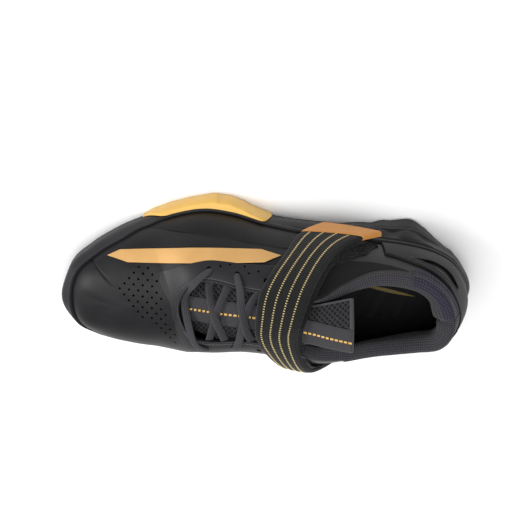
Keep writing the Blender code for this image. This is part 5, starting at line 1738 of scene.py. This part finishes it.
def strap_grid(first, final, lower, upper, rows, columns, edge=16):
    """The outer and inner grid of a length of strap, with its edges rounded: the more, the lower edge is."""
    t, v = np.meshgrid(np.linspace(first, final, rows), np.linspace(0, 1, columns))
    full = (1 - np.abs(2 * v - 1) ** edge) ** 0.5
    return on_strap(t, v, lower + (upper - lower) * (0.45 + 0.55 * full)), on_strap(t, v, lower)


# %% [markdown]
# ## Webbing, backing and gold threads
# The band is one shell from the sole to the strap's end, which is a pressed film. A thin backing of pile lies under the
# band. The gold threads use the same two numbers as the band does, so they follow it round every bend.

# %% Webbing, backing, threads and the strap's end
STRAP_LAST = len(STRAP) - 2 - STRAP_JOINT
BACKING = 0.6 * MM
THREAD_LINES = (0.160, 0.370, 0.580, 0.790)  # shares of the strap's width
THREAD_PITCH, THREAD_SIZE = 1.85 * MM, (0.85 * MM, 1.1 * MM, 0.4 * MM)
over, under = strap_grid(0, STRAP_LAST, 0, STRAP_THICKNESS, 300, 46)
dress(shell("strap_webbing_band", over, under), WEBBING_FINISH, "strap_webbing", "strap")
back_t, back_v = np.meshgrid(np.linspace(0.3, STRAP_LAST, 220), np.linspace(0.03, 1.085, 24))
back_lift = -0.25 * MM - 1.2 * MM * smooth((back_v - 0.9) / 0.18)
backing = shell("strap_backing", on_strap(back_t, back_v, back_lift), on_strap(back_t, back_v, back_lift - BACKING))
dress(backing, PILE_FINISH, "strap_webbing")
thread_t = np.linspace(0.05, STRAP_LAST - 0.02, 800)
for number, share in enumerate(THREAD_LINES):
    line = on_strap(thread_t, share, STRAP_THICKNESS)
    out = unit(on_strap(thread_t, share, 2 * STRAP_THICKNESS) - line)
    name = f"strap_gold_line_{number}"
    floats(name, line, out, THREAD_PITCH, THREAD_SIZE, PALE_THREAD_FINISH, "strap_webbing")

over, under = strap_grid(len(STRAP) - 2, len(STRAP) - 1, -0.2 * TIP_THICKNESS, TIP_THICKNESS, 60, 70, 30)
dress(shell("strap_end_film", over, under), TIP_FINISH, "strap_tip_plastic", "strap_tip")

# %% [markdown]
# ## The fleece patch
# The strap's hooks hold on a patch of loop pile. Loops are too fine to draw one by one at this size, so the patch is a
# fine grid whose points are pushed out by a seeded random amount, and the finish adds the smaller loops.

# %% Fleece patch
LANDING = [
    # section low   high, as shares of the wall's height
    (3.85, 0.14, 0.36),
    (4.30, 0.16, 0.62),
    (5.00, 0.18, 0.70),
    (5.90, 0.22, 0.66),
]
patch_r, patch_v = np.meshgrid(np.linspace(LANDING[0][0], LANDING[-1][0], 120), np.linspace(0, 1, 90))
patch_h = from_table(LANDING, patch_r, 1) * (1 - patch_v) + from_table(LANDING, patch_r, 2) * patch_v
patch_a = place(LATERAL, patch_r)
loops_high = np.random.default_rng(5).uniform(0.35, 1.0, patch_r.shape)
to_border = np.minimum.reduce([patch_v, 1 - patch_v, (patch_r - LANDING[0][0]) / 2, (LANDING[-1][0] - patch_r) / 2])
pile = PATCH * loops_high * (0.3 + 0.7 * smooth(to_border / 0.04))
patch = shell("fleece_patch", off_last(patch_a, patch_h, GAP + pile), off_last(patch_a, patch_h, GAP))
dress(patch, PILE_FINISH, "landing_fleece", "strap_landing")

# %% [markdown]
# ## Floor and light
# The shoe lies on plain pale paper. A large soft light hangs above it, and weaker ones fill from the toe and from the
# heel, as in a product studio. The one at the toe is low, so that it draws the soft highlight on the toe box.

# %% Stage
FLOOR_REACH = 3
LIGHTS = [
    # name, size and place in metres, watts
    ("softbox_above", 1.3, (0.1, 0.1, 1.5), 19.5),
    ("softbox_toe", 0.5, (1.15, -0.2, 0.62), 9.5),
    ("fill_heel", 0.7, (-1.1, 0.1, 0.7), 2.7),
]
LIT_POINT = Vector((0, 0, 0.03))
ROOM_LIGHT = 0.36
floor_mesh = bpy.data.meshes.new("paper")
floor_corners = [(x * FLOOR_REACH, y * FLOOR_REACH, 0) for x, y in ((-1, -1), (1, -1), (1, 1), (-1, 1))]
floor_mesh.from_pydata(floor_corners, [], [(0, 1, 2, 3)])
paper = bpy.data.objects.new("paper", floor_mesh)
bpy.context.scene.collection.objects.link(paper)
paper_finish, _, _ = new_finish("paper_white", Base_Color=linear("#f7f7f7"), Roughness=0.9, Specular_IOR_Level=0.1)
floor_mesh.materials.append(paper_finish)
paper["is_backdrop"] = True

for name, size, stands_at, power in LIGHTS:
    light = bpy.data.objects.new(name, bpy.data.lights.new(name, "AREA"))
    light.data.shape, light.data.size, light.data.energy = "DISK", size, power
    light.location = stands_at
    light.rotation_mode = "QUATERNION"
    light.rotation_quaternion = (Vector(stands_at) - LIT_POINT).to_track_quat("Z", "Y")
    bpy.context.scene.collection.objects.link(light)
room = bpy.data.worlds.new("studio")
room.use_nodes = True
background = room.node_tree.nodes["Background"]
background.inputs["Color"].default_value, background.inputs["Strength"].default_value = linear("#ffffff"), ROOM_LIGHT
bpy.context.scene.world = room
bpy.context.scene.view_settings.view_transform = "Standard"
print("lights:", len(LIGHTS))

# %% [markdown]
# ## The camera
# It looks down at 70 degrees from the lateral side and is rolled so that the toe points left. The focal length follows
# from how many pixels one metre takes up at the middle of the shoe.

# %% Camera
ELEVATION, DISTANCE, ROLL = math.radians(70), 1.35, math.radians(180)
TARGET = Vector((0.0, -0.0155, 0.040))
PIXELS_PER_M, FRAME_PIXELS, SENSOR = 1376, 530, 36.0
back = Vector((0, -math.cos(ELEVATION), math.sin(ELEVATION)))
right = Vector((1, 0, 0))
right, up = (Matrix.Rotation(ROLL, 3, back) @ v for v in (right, back.cross(right)))
eye = TARGET + back * DISTANCE
camera = bpy.data.objects.new("camera", bpy.data.cameras.new("camera"))
bpy.context.scene.collection.objects.link(camera)
camera.matrix_world = Matrix([[right[i], up[i], back[i], eye[i]] for i in range(3)] + [[0, 0, 0, 1]])
camera.data.sensor_width = SENSOR
camera.data.lens = SENSOR * PIXELS_PER_M * DISTANCE / FRAME_PIXELS
bpy.context.scene.camera = camera
print("focal length, mm:", round(camera.data.lens, 1))

# %% [markdown]
# ## Sizes at the end
# The dressed shoe has to stay in the box of the solids, so both boxes are written down.

# %% Write the two boxes and finish
seen_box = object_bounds()
for title, box in (("solids, mm:", cad_box), ("dressed, mm:", seen_box)):
    print(title, [[round(c / MM, 1) for c in corner] for corner in box])
